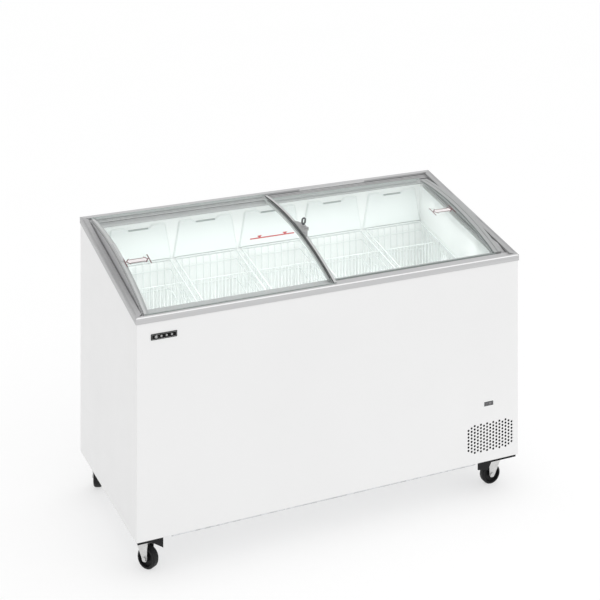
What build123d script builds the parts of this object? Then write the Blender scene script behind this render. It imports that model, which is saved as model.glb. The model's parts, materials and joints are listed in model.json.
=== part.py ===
from build123d import *
from math import cos, radians, sqrt, tan
import os

# Display chest freezer with a sloped top and two curved sliding glass lids.
# Millimetres. +X is to the right seen from the front, the front face looks
# along -Y, +Z is up. The origin is the middle of the footprint on the floor.

os.makedirs("parts", exist_ok=True)

# ---------------------------------------------------------------- driving sizes
WIDTH = 1300.0            # over the top frame
DEPTH = 670.0             # over the top frame
REAR_HEIGHT = 895.0       # floor to the top of the frame at the back
SLOPE = 10.0              # degrees, the top falls towards the front
BODY_INSET = 2.0          # the frame stands this far proud of the cabinet
BODY_BOTTOM = 116.0       # underside of the cabinet above the floor
SHEET = 0.8               # steel sheet of the cabinet
WALL = 62.0               # cabinet wall, outside to inside
COLLAR_DEPTH = 156.0      # height of the white collar, measured straight down
BASKETS = 5

RAIL_T = 18.0             # frame rails, square to the slope
SIDE_RAIL_W = 23.0
FRONT_RAIL_W = 65.0
BACK_RAIL_W = 64.0
LIP_W = 11.0              # raised outer lip of the front rail
BACK_LIP_W = 15.0
UPPER_TRACK = -7.0        # track floors below the frame's top face
LOWER_TRACK = -14.0
TRACK_STEP = 29.0         # width of the upper track

GLASS_T = 4.0
LID_RADIUS = 1500.0       # underside of the lower glass
LID_STEP = 10.5           # the upper lid runs this much higher
LOWER_MID = 20.8          # underside of the lower glass at mid-depth
UPPER_HALF = 324.0        # half chord of the upper lid
LOWER_HALF = 295.0
BAR_MARGIN = 2.0          # the end bars stand this far above and below the glass

WHEEL_R = 33.5
WHEEL_W = 24.0
TRAIL = 17.0              # castor axle behind its swivel axis

MACHINE_X = 432.0         # left wall of the compressor compartment
MACHINE_TOP = 322.0
HUMP_X = 384.0            # inner step over the compressor compartment
HUMP_TOP = 372.0
LINER_BOTTOM = 180.0

# ---------------------------------------------------------------- derived sizes
HALF_W = WIDTH / 2
HALF_D = DEPTH / 2
BODY_X = HALF_W - BODY_INSET
BODY_Y = HALF_D - BODY_INSET
FRONT_HEIGHT = REAR_HEIGHT - DEPTH * tan(radians(SLOPE))
RUN = DEPTH / cos(radians(SLOPE))            # length of the sloped top
MID = RUN / 2
RAIL_DROP = RAIL_T / cos(radians(SLOPE))     # rail thickness, straight down
COLLAR_X = HALF_W - WALL - 1.0               # inner faces of the collar, at its foot
COLLAR_Y = 272.0
COLLAR_T = 4.0
LINER_X = COLLAR_X - 3.0
LINER_Y = COLLAR_Y - 14.0
GABLE_OUT = HALF_W - SIDE_RAIL_W - 2.5       # outer faces of the side gables
GABLE_IN = GABLE_OUT - 22.0
LID_AXIS = LOWER_MID - LID_RADIUS            # height of the lids' common centre of curvature
TOP = Pos(0, -HALF_D, FRONT_HEIGHT) * Rot(SLOPE, 0, 0)


def block(x0, x1, y0, y1, z0, z1):
    """An axis-aligned box from its low and high faces."""
    return Pos((x0 + x1) / 2, (y0 + y1) / 2, (z0 + z1) / 2) * Box(x1 - x0, y1 - y0, z1 - z0)


def top_z(y):
    """Height of the frame's top face."""
    return FRONT_HEIGHT + (y + HALF_D) * tan(radians(SLOPE))


def along_x(points, x0, x1):
    """A (Y, Z) outline carried from x0 to x1."""
    face = make_face(Polyline(*[(y, z) for y, z in points], close=True))
    return Pos(x0, 0, 0) * Rot(0, 0, 90) * Rot(90, 0, 0) * extrude(face, x1 - x0)


def under_top(x0, x1, y0, y1, drop, z0):
    """A block with a flat foot and a sloped head, drop below the frame's top face."""
    return along_x([(y0, z0), (y1, z0), (y1, top_z(y1) - drop), (y0, top_z(y0) - drop)], x0, x1)


def slant(x0, x1, y0, y1, drop0, drop1):
    """A block with sloped head and foot, drop0 and drop1 below the frame's top face."""
    low, high = top_z(y0), top_z(y1)
    outline = [(y0, low - drop1), (y1, high - drop1), (y1, high - drop0), (y0, low - drop0)]
    return along_x(outline, x0, x1)


def rod(x, y, z, radius, length, axis="z"):
    """A cylinder that starts at a point and runs along +X, +Y or +Z."""
    turn = {"z": Rot(0, 0, 0), "x": Rot(0, 90, 0), "y": Rot(-90, 0, 0)}[axis]
    return Pos(x, y, z) * turn * extrude(Circle(radius), length)


def save(name, shape):
    """Write one sub-part."""
    export_step(shape, f"parts/{name}.step")


# ---------------------------------------------------------------- cabinet sheets
VENT_X = 461.0            # first column of air holes
VENT_Z = 196.4            # middle of the air hole field
VENT_PITCH_X = 11.54
VENT_PITCH_Z = 10.9
VENT_R = 3.7
VENT_COLUMNS = [7, 8, 9, 8, 9, 8, 9, 8, 9, 8, 9, 8, 9, 8, 7]
DISPLAY_X = 535.5
DISPLAY_Z = 305.2
DISPLAY_W = 34.0            # display glass
DISPLAY_H = 14.6
BEZEL_W = 1.4               # frame around the glass


def vent_holes():
    """Staggered round air holes through the front sheet."""
    places = []
    for column, count in enumerate(VENT_COLUMNS):
        for row in range(count):
            z = VENT_Z + (row - (count - 1) / 2) * VENT_PITCH_Z
            places.append((VENT_X + column * VENT_PITCH_X, z))
    plane = Plane(origin=(0, -BODY_Y - 5, 0), x_dir=(1, 0, 0), z_dir=(0, -1, 0))
    discs = Sketch() + [Pos(x, z) * Circle(VENT_R) for x, z in places]
    return extrude(plane * discs, -12)


def outer_wrap():
    """Front and both sides, folded from one sheet."""
    whole = under_top(-BODY_X, BODY_X, -BODY_Y, BODY_Y - SHEET, RAIL_DROP, BODY_BOTTOM)
    corners = whole.edges().filter_by(Axis.Z).group_by(Axis.Y)[0]
    whole = fillet(corners, 3.0)
    inside = block(-BODY_X + SHEET, BODY_X - SHEET, -BODY_Y + SHEET, BODY_Y + 5, 0, REAR_HEIGHT + 50)
    corners = inside.edges().filter_by(Axis.Z).group_by(Axis.Y)[0]
    inside = fillet(corners, 3.0 - SHEET)
    window = display_slab(BEZEL_W, -BODY_Y - 5, -BODY_Y + 5)
    return whole - inside - window - vent_holes()


GRILLE_X = (446.0, 626.0)
GRILLE_Z = (140.0, 300.0)


def rear_panel():
    """Flat back sheet with the opening that the rear grille closes."""
    sheet = under_top(-BODY_X, BODY_X, BODY_Y - SHEET, BODY_Y, RAIL_DROP, BODY_BOTTOM)
    opening = block(*GRILLE_X, BODY_Y - 5, BODY_Y + 5, *GRILLE_Z)
    return sheet - opening


def rear_grille():
    """Louvred cover of the compressor compartment, set flush into the back."""
    gap = 0.5
    x0, x1 = GRILLE_X[0] + gap, GRILLE_X[1] - gap
    z0, z1 = GRILLE_Z[0] + gap, GRILLE_Z[1] - gap
    frame = block(x0, x1, BODY_Y - 4, BODY_Y, z0, z1)
    slots = 11
    pitch = (z1 - z0 - 24) / slots
    cutters = []
    for row in range(slots):
        z = z0 + 12 + (row + 0.5) * pitch
        for side in (0, 1):
            left = x0 + 10 + side * (x1 - x0 - 14) / 2
            slot = block(left, left + (x1 - x0) / 2 - 13, -12, 12, -2.6, 2.6)
            cutters.append(Pos(0, BODY_Y - 2, z) * Rot(35, 0, 0) * slot)
    knob_hole = rod(THERMOSTAT_X, BODY_Y - 10, THERMOSTAT_Z, 17.0, 20, "y")
    boss = rod(THERMOSTAT_X, BODY_Y - 4, THERMOSTAT_Z, 24.0, 4, "y")
    return frame - cutters + (boss & frame) - knob_hole


PAN_T = 2.0
FOLD_X = (-538.0, 490.0)                     # stiffening folds, clear of the castor brackets


def base_pan():
    """Steel floor of the cabinet, with a stiffening fold along the front and the back."""
    x, y = BODY_X - SHEET, BODY_Y - SHEET
    pan = block(-x, x, -y, y, BODY_BOTTOM, BODY_BOTTOM + PAN_T)
    pan = fillet(pan.edges().filter_by(Axis.Z).group_by(Axis.Y)[0], 3.0)
    for edge in (-1, 1):
        y = edge * (BODY_Y - 14)
        fold = block(*FOLD_X, y - 8, y + 8, BODY_BOTTOM - 7, BODY_BOTTOM)
        hollow = block(FOLD_X[0] + 2, FOLD_X[1] - 2, y - 6, y + 6, BODY_BOTTOM - 8, BODY_BOTTOM - 1)
        pan = pan + (fold - hollow)
    return pan


EVAPORATOR_GAP = 10.0
LINER_SKIN = 1.0
COLLAR_FLANGE = 2.5
COIL_LEVELS = [390 + 36 * n for n in range(6)]


def foam_insulation():
    """Foamed-in-place insulation between the sheets and the inner box."""
    x, y = BODY_X - SHEET, BODY_Y - SHEET
    bottom = BODY_BOTTOM + PAN_T
    foam = under_top(-x, x, -y, y, RAIL_DROP, bottom)
    corners = foam.edges().filter_by(Axis.Z).group_by(Axis.Y)[0]
    foam = fillet(corners, 3.0)
    collar = slant(-COLLAR_X - COLLAR_T, COLLAR_X + COLLAR_T, -COLLAR_Y - COLLAR_T, COLLAR_Y + COLLAR_T,
                   -50, COLLAR_DEPTH)
    flange_x, flange_y = GABLE_IN + 4, COLLAR_Y + COLLAR_T
    flange = slant(-flange_x, flange_x, -flange_y, flange_y, RAIL_DROP - 1, RAIL_DROP + COLLAR_FLANGE)
    skin = LINER_SKIN
    tank = under_top(-LINER_X - skin, LINER_X + skin, -LINER_Y - skin, LINER_Y + skin,
                     COLLAR_DEPTH - 1, LINER_BOTTOM - skin)
    step = block(HUMP_X + skin, HALF_W, -HALF_D, HALF_D, 0, HUMP_TOP - skin)
    gap = EVAPORATOR_GAP
    recess = block(-LINER_X - gap, LINER_X + gap, -LINER_Y - gap, LINER_Y + gap,
                   COIL_LEVELS[0] - 8, COIL_LEVELS[-1] + 8)
    machine = block(MACHINE_X, HALF_W, -HALF_D, HALF_D, 0, MACHINE_TOP)
    return foam - collar - flange - (tank - step) - recess - machine


def inner_liner():
    """Painted aluminium tank with a step over the compressor."""
    skin = LINER_SKIN
    outer = under_top(-LINER_X - skin, LINER_X + skin, -LINER_Y - skin, LINER_Y + skin,
                      COLLAR_DEPTH, LINER_BOTTOM - skin)
    outer = outer - block(HUMP_X + skin, HALF_W, -HALF_D, HALF_D, 0, HUMP_TOP - skin)
    inner = under_top(-LINER_X, LINER_X, -LINER_Y, LINER_Y, COLLAR_DEPTH - 5, LINER_BOTTOM)
    inner = inner - block(HUMP_X, HALF_W, -HALF_D, HALF_D, 0, HUMP_TOP)
    return outer - inner


def collar_loft():
    """Opening of the collar: its ends lean in a little towards the top."""
    top_x = COLLAR_X - 7.0
    rings = []
    for x, drop in ((top_x, RAIL_DROP - 8), (COLLAR_X, COLLAR_DEPTH - COLLAR_T)):
        corners = [(-x, -COLLAR_Y), (x, -COLLAR_Y), (x, COLLAR_Y), (-x, COLLAR_Y)]
        ring = [Vector(cx, cy, top_z(cy) - drop) for cx, cy in corners]
        rings.append(Wire.make_polygon(ring, close=True))
    return Solid.make_loft(rings, True)


def inner_collar():
    """White moulded collar with the ledge that the baskets hang on."""
    x, y = COLLAR_X + COLLAR_T, COLLAR_Y + COLLAR_T
    ring = slant(-x, x, -y, y, RAIL_DROP, COLLAR_DEPTH)
    ring = ring + slant(-GABLE_IN - 4, GABLE_IN + 4, -y, y, RAIL_DROP, RAIL_DROP + COLLAR_FLANGE)
    throat = slant(-LINER_X, LINER_X, -LINER_Y, LINER_Y, 0, COLLAR_DEPTH + 5)
    return ring - collar_loft() - throat


PANEL_PITCH = 2 * COLLAR_X / BASKETS
PANEL_T = 6.0
PANEL_FOOT = top_z(COLLAR_Y) - COLLAR_DEPTH + COLLAR_T + 2.0
PANEL_H = 124.0


def panel_outline():
    """Trapezoid panel with a hand dip in its top edge, centred on X = 0."""
    foot, head, dip = PANEL_PITCH / 2 - 2.5, PANEL_PITCH / 2 - 24.0, 36.0
    return [(-foot, 0), (foot, 0), (head, PANEL_H), (dip + 12, PANEL_H), (dip, PANEL_H - 10),
            (-dip, PANEL_H - 10), (-dip - 12, PANEL_H), (-head, PANEL_H)]


def collar_back_panels():
    """Moulded panels along the back of the collar, one behind each basket."""
    plane = Plane(origin=(0, COLLAR_Y, PANEL_FOOT), x_dir=(1, 0, 0), z_dir=(0, -1, 0))
    face = make_face(Polyline(*panel_outline(), close=True))
    face = fillet(face.vertices().group_by(Axis.Y)[-1], 8.0)
    panel = extrude(plane * face, PANEL_T)
    front = panel.faces().sort_by(Axis.Y)[0]
    panel = chamfer(front.edges(), 4.0)
    centres = [(n - (BASKETS - 1) / 2) * PANEL_PITCH for n in range(BASKETS)]
    return Compound(children=[Pos(x, 0, 0) * panel for x in centres])


# ---------------------------------------------------------------- top frame
def rail(points, x0, x1):
    """A rail section in (run, height) carried along X on the sloped top."""
    face = make_face(Polyline(*points, close=True))
    return Pos(x0, 0, 0) * Rot(0, 0, 90) * Rot(90, 0, 0) * extrude(face, x1 - x0)


def upright_trim():
    """The prism that keeps the frame's outer faces upright."""
    return block(-HALF_W, HALF_W, -HALF_D, HALF_D, 0, REAR_HEIGHT + 200)


def corner_prism(side, near):
    """What a side rail gives up at a corner: a mitre, then a butt joint."""
    inner = HALF_W - SIDE_RAIL_W
    outer = HALF_W + 4
    runs = (-4, SIDE_RAIL_W, -20) if near else (RUN + 4, RUN - SIDE_RAIL_W, RUN + 20)
    corners = [(outer, runs[0]), (inner, runs[1]), (inner, runs[2]), (outer, runs[2])]
    points = [(side * x, run) for x, run in corners]
    return Pos(0, 0, -60) * extrude(make_face(Polyline(*points, close=True)), 120)


def side_zone(side):
    """Everything outboard of a side rail's inner face, less both corner prisms."""
    inner = HALF_W - SIDE_RAIL_W
    x0, x1 = sorted((side * inner, side * (HALF_W + 2)))
    zone = block(x0, x1, -10, RUN + 10, -60, 60)
    return zone - corner_prism(side, True) - corner_prism(side, False)


def front_rail():
    """Front rail: rounded lip, upper track and lower track."""
    section = [
        (-6, -RAIL_T), (-6, 0), (LIP_W, 0), (LIP_W, UPPER_TRACK), (LIP_W + TRACK_STEP, UPPER_TRACK),
        (LIP_W + TRACK_STEP, LOWER_TRACK), (FRONT_RAIL_W, LOWER_TRACK), (FRONT_RAIL_W, -RAIL_T)]
    bar = rail(section, -HALF_W, HALF_W) - side_zone(1) - side_zone(-1)
    bar = (TOP * bar) & upright_trim()
    nose = bar.edges().filter_by(Axis.X).sort_by(Axis.Y)[:2].sort_by(Axis.Z)[-1]
    return fillet(nose, 5.0)


def back_rail():
    """Back rail: raised lip, grooved upper track and lower track."""
    start = RUN - BACK_RAIL_W
    step = start + 21.0
    lip = RUN - BACK_LIP_W
    section = [
        (start, -RAIL_T), (start, LOWER_TRACK), (step, LOWER_TRACK), (step, UPPER_TRACK),
        (lip, UPPER_TRACK), (lip, 0), (RUN + 6, 0), (RUN + 6, -RAIL_T)]
    bar = rail(section, -HALF_W, HALF_W) - side_zone(1) - side_zone(-1)
    for distance in (3.0, 13.0, 22.0):
        run = lip - distance
        bar = bar - block(-HALF_W, HALF_W, run, run + 3.0, UPPER_TRACK - 2.4, 0)
    return (TOP * bar) & upright_trim()


def side_rails():
    """Left and right rails with a shallow bead along the top."""
    both = []
    for side in (-1, 1):
        x0, x1 = sorted((side * (HALF_W - SIDE_RAIL_W), side * HALF_W))
        bar = block(x0, x1, -6, RUN + 6, -RAIL_T, 0) & side_zone(side)
        groove_x = side * (HALF_W - 6.0)
        bar = bar - block(groove_x - 0.8, groove_x + 0.8, SIDE_RAIL_W, RUN - SIDE_RAIL_W, -1.0, 5)
        both.append((TOP * bar) & upright_trim())
    return Compound(children=both)


def lid_arc(radius):
    """A cylinder about the lids' common centre of curvature, wide enough for any lid."""
    return Pos(-HALF_W, MID, LID_AXIS) * Rot(0, 90, 0) * extrude(Circle(radius), WIDTH)


def finger_slot():
    """Open channel in the right gable, under the ear of the right lid; its ends run out at a slant."""
    inner, outer = GABLE_IN + 6.5, GABLE_OUT + 1.0
    outline = [(inner, 140), (outer, 95), (outer, RUN - 75), (inner, RUN - 120)]
    return Pos(0, 0, LOWER_TRACK) * extrude(make_face(Polyline(*outline, close=True)), 100)


def side_gables():
    """Moulded cheeks that close the ends under the curved lids, each with a bead along its foot."""
    gables = []
    under_bar = LID_RADIUS - BAR_MARGIN - 1.0
    step = RUN - BACK_RAIL_W
    for side, radius in ((-1, under_bar + LID_STEP), (1, under_bar)):
        outline = [
            (LIP_W + 1, UPPER_TRACK), (LIP_W + TRACK_STEP, UPPER_TRACK), (LIP_W + TRACK_STEP, LOWER_TRACK),
            (FRONT_RAIL_W, LOWER_TRACK), (FRONT_RAIL_W, -RAIL_T), (step, -RAIL_T), (step, LOWER_TRACK),
            (step + 21, LOWER_TRACK), (step + 21, UPPER_TRACK), (RUN - BACK_LIP_W - 1, UPPER_TRACK),
            (RUN - BACK_LIP_W - 1, 60), (LIP_W + 1, 60)]
        x0, x1 = sorted((side * GABLE_IN, side * GABLE_OUT))
        plate = rail(outline, x0, x1) & lid_arc(radius)
        plate = plate.solids().sort_by(SortBy.VOLUME)[-1]
        if side > 0:
            plate = plate - finger_slot()
        b0, b1 = sorted((side * (GABLE_IN - 6.0), side * GABLE_IN))
        bead = block(b0, b1, FRONT_RAIL_W, step, -RAIL_T, -RAIL_T + 6.0)
        gables.append(TOP * (plate + bead))
    return Compound(children=gables)


# ---------------------------------------------------------------- sliding lids
UPPER_X = (-GABLE_OUT + 4.0, -1.0)           # left lid, over its bars
LOWER_X = (-17.0, 608.0)                     # right lid, over its bars
LEFT_BAR_W = 8.0
MIDDLE_BAR_W = 9.0
RIGHT_BAR_W = 26.0
GLASS_BITE = 5.0                             # glass held inside each bar
GASKET_W = 2.5
BAR_SHORT = 26.0                             # the bars end this far before the panes' back edge
GLIDE_W = 9.0
UPPER_BARS = (UPPER_X[0] + LEFT_BAR_W, UPPER_X[1] - MIDDLE_BAR_W)       # open pane between the bars
LOWER_BARS = (LOWER_X[0] + MIDDLE_BAR_W, LOWER_X[1] - RIGHT_BAR_W)
HANDLE_MID = MID - 5.0
BUMP_L = 112.0
BUMP_H = 10.0
EAR_L = 225.0
EAR_W = 12.0


def shell(radius_in, radius_out, x0, x1, half, short=0.0):
    """A curved strip between two radii, over x0..x1 and a half chord, cut short at the back."""
    ring = lid_arc(radius_out) - lid_arc(radius_in)
    return ring & block(x0, x1, MID - half, MID + half - short, -60, 100)


def lid_glass(level, bars, half):
    """Curved pane, held inside the bars at both ends."""
    return shell(level, level + GLASS_T, bars[0] - GLASS_BITE, bars[1] + GLASS_BITE, half)


def lid_bar(level, x0, x1, half):
    """Curved end bar, before its slot for the edge of the pane is cut."""
    return shell(level - BAR_MARGIN, level + GLASS_T + BAR_MARGIN, x0, x1, half, BAR_SHORT)


def gasket(level, edge, drop, under_half, half):
    """Black strips along the pane side of a bar, one under the pane and one on it."""
    crown = level + GLASS_T + BAR_MARGIN
    under = shell(level - drop, level, edge - GASKET_W, edge, under_half, BAR_SHORT)
    over = shell(level + GLASS_T, crown, edge - GASKET_W / 2, edge, half, BAR_SHORT)
    return Compound(children=[under, over])


def bump(level):
    """Raised grip on the left lid's end bar, with rounded ends."""
    crown = level + GLASS_T + BAR_MARGIN
    grip = shell(crown - 0.5, crown + BUMP_H, UPPER_X[0], UPPER_BARS[0], UPPER_HALF)
    grip = grip & block(-HALF_W, 0, HANDLE_MID - BUMP_L / 2, HANDLE_MID + BUMP_L / 2, 0, 100)
    return fillet(grip.edges().filter_by(Axis.X).sort_by(Axis.Z)[-2:], 0.9 * BUMP_H)


def left_lid_end_bar():
    """Left end bar of the upper lid with its grip."""
    level = LID_RADIUS + LID_STEP
    bar = lid_bar(level, UPPER_X[0], UPPER_BARS[0], UPPER_HALF)
    return bar + bump(level) - lid_glass(level, UPPER_BARS, UPPER_HALF)


def left_lid_middle_bar():
    """Right end bar of the upper lid."""
    level = LID_RADIUS + LID_STEP
    bar = lid_bar(level, UPPER_BARS[1], UPPER_X[1], UPPER_HALF)
    return bar - lid_glass(level, UPPER_BARS, UPPER_HALF)


def left_lid_seal():
    """Soft strip that closes the gap between the lids, and the glazing bead above it."""
    return gasket(LID_RADIUS + LID_STEP, UPPER_BARS[1], 3.4, LOWER_HALF - 3, UPPER_HALF)


def ear():
    """Low tab along the right lid's end bar, with rounded corners."""
    half, lead = EAR_L / 2, 30.0
    root, tip = LOWER_X[1] - 1.0, LOWER_X[1] + EAR_W
    outline = [
        (root, HANDLE_MID - half), (tip, HANDLE_MID - half + lead),
        (tip, HANDLE_MID + half - lead), (root, HANDLE_MID + half)]
    face = make_face(Polyline(*outline, close=True))
    face = fillet(face.vertices().group_by(Axis.X)[-1], 18.0)
    tab = shell(LID_RADIUS - 0.5, LID_RADIUS + GLASS_T + BAR_MARGIN, root, tip, LOWER_HALF)
    return tab & extrude(face, 100)


def right_lid_end_bar():
    """Wide right end bar of the lower lid: a seam along its crown and a low ear to pull it by."""
    level = LID_RADIUS
    crown = level + GLASS_T + BAR_MARGIN
    seam = (LOWER_BARS[1] + LOWER_X[1]) / 2
    bar = lid_bar(level, LOWER_BARS[1], LOWER_X[1], LOWER_HALF)
    bar = bar - shell(crown - 1.6, crown + 1, seam - 1.0, seam + 1.0, LOWER_HALF)
    return bar + ear() - lid_glass(level, LOWER_BARS, LOWER_HALF)


def right_lid_middle_bar():
    """Left end bar of the lower lid."""
    bar = lid_bar(LID_RADIUS, LOWER_X[0], LOWER_BARS[0], LOWER_HALF)
    return bar - lid_glass(LID_RADIUS, LOWER_BARS, LOWER_HALF)


def right_lid_seal():
    """Glazing beads along the right end bar."""
    return gasket(LID_RADIUS, LOWER_BARS[1], BAR_MARGIN, LOWER_HALF - 15, LOWER_HALF)


def lid_glides(level, bars, half, floor):
    """Plastic strips under the front and back edges of a pane that run in the track."""
    x0, x1 = max(bars[0], 1.0 - GABLE_IN), bars[1] - GASKET_W - 1.0
    glides = []
    for v0, v1 in ((MID - half, MID - half + GLIDE_W), (MID + half - GLIDE_W, MID + half)):
        strip = block(x0, x1, v0, v1, floor + 0.4, 40) & lid_arc(level)
        glides.append(TOP * strip)
    return Compound(children=glides)


# ---------------------------------------------------------------- lock
LOCK_X = UPPER_X[1] + 9.0
LOCK_V = HANDLE_MID - 7.0
BARREL_R = 6.0
LOCK_CLEARANCE = 0.05


def lock_level():
    """Height of the upper pane's top face at the lock."""
    level = LID_RADIUS + LID_STEP + GLASS_T
    return LID_AXIS + sqrt(level ** 2 - (LOCK_V - MID) ** 2)


def lock_housing():
    """Flared plate on the middle bar that reaches over the other lid, bored for the barrel."""
    bottom = lock_level() - 1.4
    edge = UPPER_X[1]
    outline = [
        (edge - 8, LOCK_V - 66), (edge, LOCK_V - 60), (edge + 8, LOCK_V - 40), (LOCK_X + 7, LOCK_V - 24),
        (LOCK_X + 9, LOCK_V - 4), (LOCK_X + 8, LOCK_V + 12), (edge + 3, LOCK_V + 34), (edge - 8, LOCK_V + 42)]
    plate = Pos(0, 0, bottom) * extrude(make_face(Polyline(*outline, close=True)), 7.0)
    collar = Pos(LOCK_X, LOCK_V, bottom) * extrude(Circle(BARREL_R + 2.0), 9.0)
    lug = Pos(LOCK_X + 4, LOCK_V - 19, bottom) * extrude(RectangleRounded(14, 10, 3), 9.0)
    bore = Pos(LOCK_X, LOCK_V, 0) * extrude(Circle(BARREL_R + LOCK_CLEARANCE), 100)
    screw_x, screw_v = edge - 4.0, LOCK_V - 45
    screw_hole = Pos(screw_x, screw_v, 0) * extrude(Circle(2.0), 100)
    bar_top = lid_arc(LID_RADIUS + LID_STEP + GLASS_T + BAR_MARGIN)
    housing = (plate - bar_top) + collar + lug - bore - screw_hole
    head = Pos(screw_x, screw_v, bottom + 7.0) * extrude(Circle(3.6), 2.0)
    head = fillet(head.edges().sort_by(Axis.Z)[-1], 1.2)
    shank = Pos(screw_x, screw_v, bottom) * extrude(Circle(2.0), 7.0) - bar_top
    return Compound(children=[TOP * housing, TOP * (head + shank)])


def lock_barrel():
    """Turning barrel with a keyway."""
    foot = lock_level() - 1.4
    body = Pos(LOCK_X, LOCK_V, foot) * extrude(Circle(BARREL_R), 10.2)
    body = fillet(body.edges().sort_by(Axis.Z)[-1], 1.2)
    keyway = Pos(LOCK_X, LOCK_V, foot + 4.0) * extrude(Rectangle(8.4, 2.4), 20)
    return TOP * (body - keyway)


def lock_key():
    """Flat key standing in the barrel, its slotted bow facing the front."""
    foot = lock_level() - 1.4
    blade = Pos(LOCK_X, LOCK_V, foot + 4.0) * extrude(Rectangle(8.0, 2.0), 10.0)
    plane = Plane(origin=(LOCK_X, LOCK_V + 1.2, foot + 24), x_dir=(1, 0, 0), z_dir=(0, -1, 0))
    bow = SlotOverall(24, 16, rotation=90) - SlotOverall(14, 5, rotation=90)
    return TOP * (blade + extrude(plane * bow, 2.4))


# ---------------------------------------------------------------- labels and display
def front_badge():
    """Blank name plate with rounded corners."""
    plate = Pos(-564.0, -BODY_Y, 714.8) * Rot(90, 0, 0) * extrude(RectangleRounded(80, 18, 1.2), 1.6)
    return chamfer(plate.faces().sort_by(Axis.Y)[0].edges(), 0.4)


def rail_label_strip():
    """Plain strip on the front face of the back rail's lip."""
    strip = extrude(RectangleRounded(252, 6.0, 1.0), 0.3)
    return TOP * Pos(257, RUN - BACK_LIP_W, UPPER_TRACK / 2) * Rot(90, 0, 0) * strip


def load_line_label():
    """Load line on the middle back panel: a bar and two down-pointing triangles."""
    plane = Plane(origin=(7, COLLAR_Y - PANEL_T, 759.5), x_dir=(1, 0, 0), z_dir=(0, -1, 0))
    label = Sketch() + Rectangle(164, 4)
    for x in (-47, 47):
        label += make_face(Polyline((x - 9, 8.5), (x + 9, 8.5), (x, -1), close=True))
    return extrude(plane * label, 0.4)


def display_slab(margin, y0, y1):
    """A slab the size of the display glass plus a margin all round."""
    half_x, half_z = DISPLAY_W / 2 + margin, DISPLAY_H / 2 + margin
    return block(DISPLAY_X - half_x, DISPLAY_X + half_x, y0, y1, DISPLAY_Z - half_z, DISPLAY_Z + half_z)


def thermometer_bezel():
    """Thin raised frame around the display glass, clipped through the front sheet."""
    place = Pos(DISPLAY_X, -BODY_Y, DISPLAY_Z) * Rot(90, 0, 0)
    flange = place * extrude(RectangleRounded(DISPLAY_W + 4.4, DISPLAY_H + 4.4, 2), 1.5)
    flange = chamfer(flange.faces().sort_by(Axis.Y)[0].edges(), 0.7)
    sleeve = display_slab(BEZEL_W - 0.3, -BODY_Y, -BODY_Y + 12)
    return flange + sleeve - display_slab(0.1, -BODY_Y - 5, -BODY_Y + 20)


def thermometer_display():
    """Display glass and the small housing behind it."""
    face = display_slab(0.0, -BODY_Y - 1.2, -BODY_Y + 13)
    return face + display_slab(3.0, -BODY_Y + 12.2, -BODY_Y + 26)


# ---------------------------------------------------------------- refrigeration
PAN_TOP = BODY_BOTTOM + PAN_T
COMPRESSOR = (540.0, 70.0)
FAN_X = 540.0
FAN_Z = 205.0
CONDENSER_Y = -300.0
THERMOSTAT_X = 590.0
THERMOSTAT_Z = 262.0


def tube(points, radius, corner):
    """A round tube along a polyline with bent corners."""
    path = FilletPolyline(*points, radius=corner)
    ends = Plane(origin=path @ 0, z_dir=path % 0)
    return sweep(ends * Circle(radius), path=path)


def evaporator_coil():
    """Copper loops around the tank, joined by risers at the back."""
    radius, clearance = 3.2, 1.2
    x, y = (half + LINER_SKIN + clearance + radius for half in (LINER_X, LINER_Y))
    loops = []
    for z in COIL_LEVELS:
        ring = Wire.make_polygon([Vector(-x, -y, z), Vector(x, -y, z), Vector(x, y, z), Vector(-x, y, z)])
        ring = ring.fillet_2d(5.0, ring.vertices())
        loops.append(sweep(Plane(origin=ring @ 0, z_dir=ring % 0) * Circle(radius), path=ring))
    coil = loops[0]
    for loop in loops[1:]:
        coil = coil + loop
    for n, z in enumerate(COIL_LEVELS[:-1]):
        riser = rod(-x + 60 + 40 * n, y, z, radius * 0.9, COIL_LEVELS[1] - COIL_LEVELS[0])
        coil = coil + riser
    return coil


def compressor():
    """Hermetic compressor: a welded oval can on a foot plate."""
    cx, cy = COMPRESSOR
    foot_z = PAN_TOP + 12
    plate = Pos(cx, cy, foot_z) * extrude(RectangleRounded(150, 110, 10), 3)
    corners = [(cx + sx * 62, cy + sy * 42) for sx in (-1, 1) for sy in (-1, 1)]
    holes = [Pos(x, y, foot_z - 5) * extrude(Circle(6.2), 20) for x, y in corners]
    can = Pos(cx, cy, foot_z + 1) * extrude(Ellipse(74, 58), 118)
    can = fillet(can.edges().sort_by(Axis.Z)[-1], 34.0)
    seam = Pos(cx, cy, foot_z + 60) * extrude(Ellipse(76.5, 60.5), 5)
    stub = rod(cx - 30, cy - 66, foot_z + 40, 4, 20, "y")
    return plate - holes + can + seam + stub


def compressor_feet():
    """Rubber grommets under the compressor's foot plate."""
    cx, cy = COMPRESSOR
    feet = []
    for sx in (-1, 1):
        for sy in (-1, 1):
            foot = Pos(cx + sx * 62, cy + sy * 42, PAN_TOP) * extrude(Circle(10), 12)
            foot = foot + Pos(cx + sx * 62, cy + sy * 42, PAN_TOP + 12) * extrude(Circle(6), 7)
            feet.append(foot)
    return Compound(children=feet)


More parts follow.
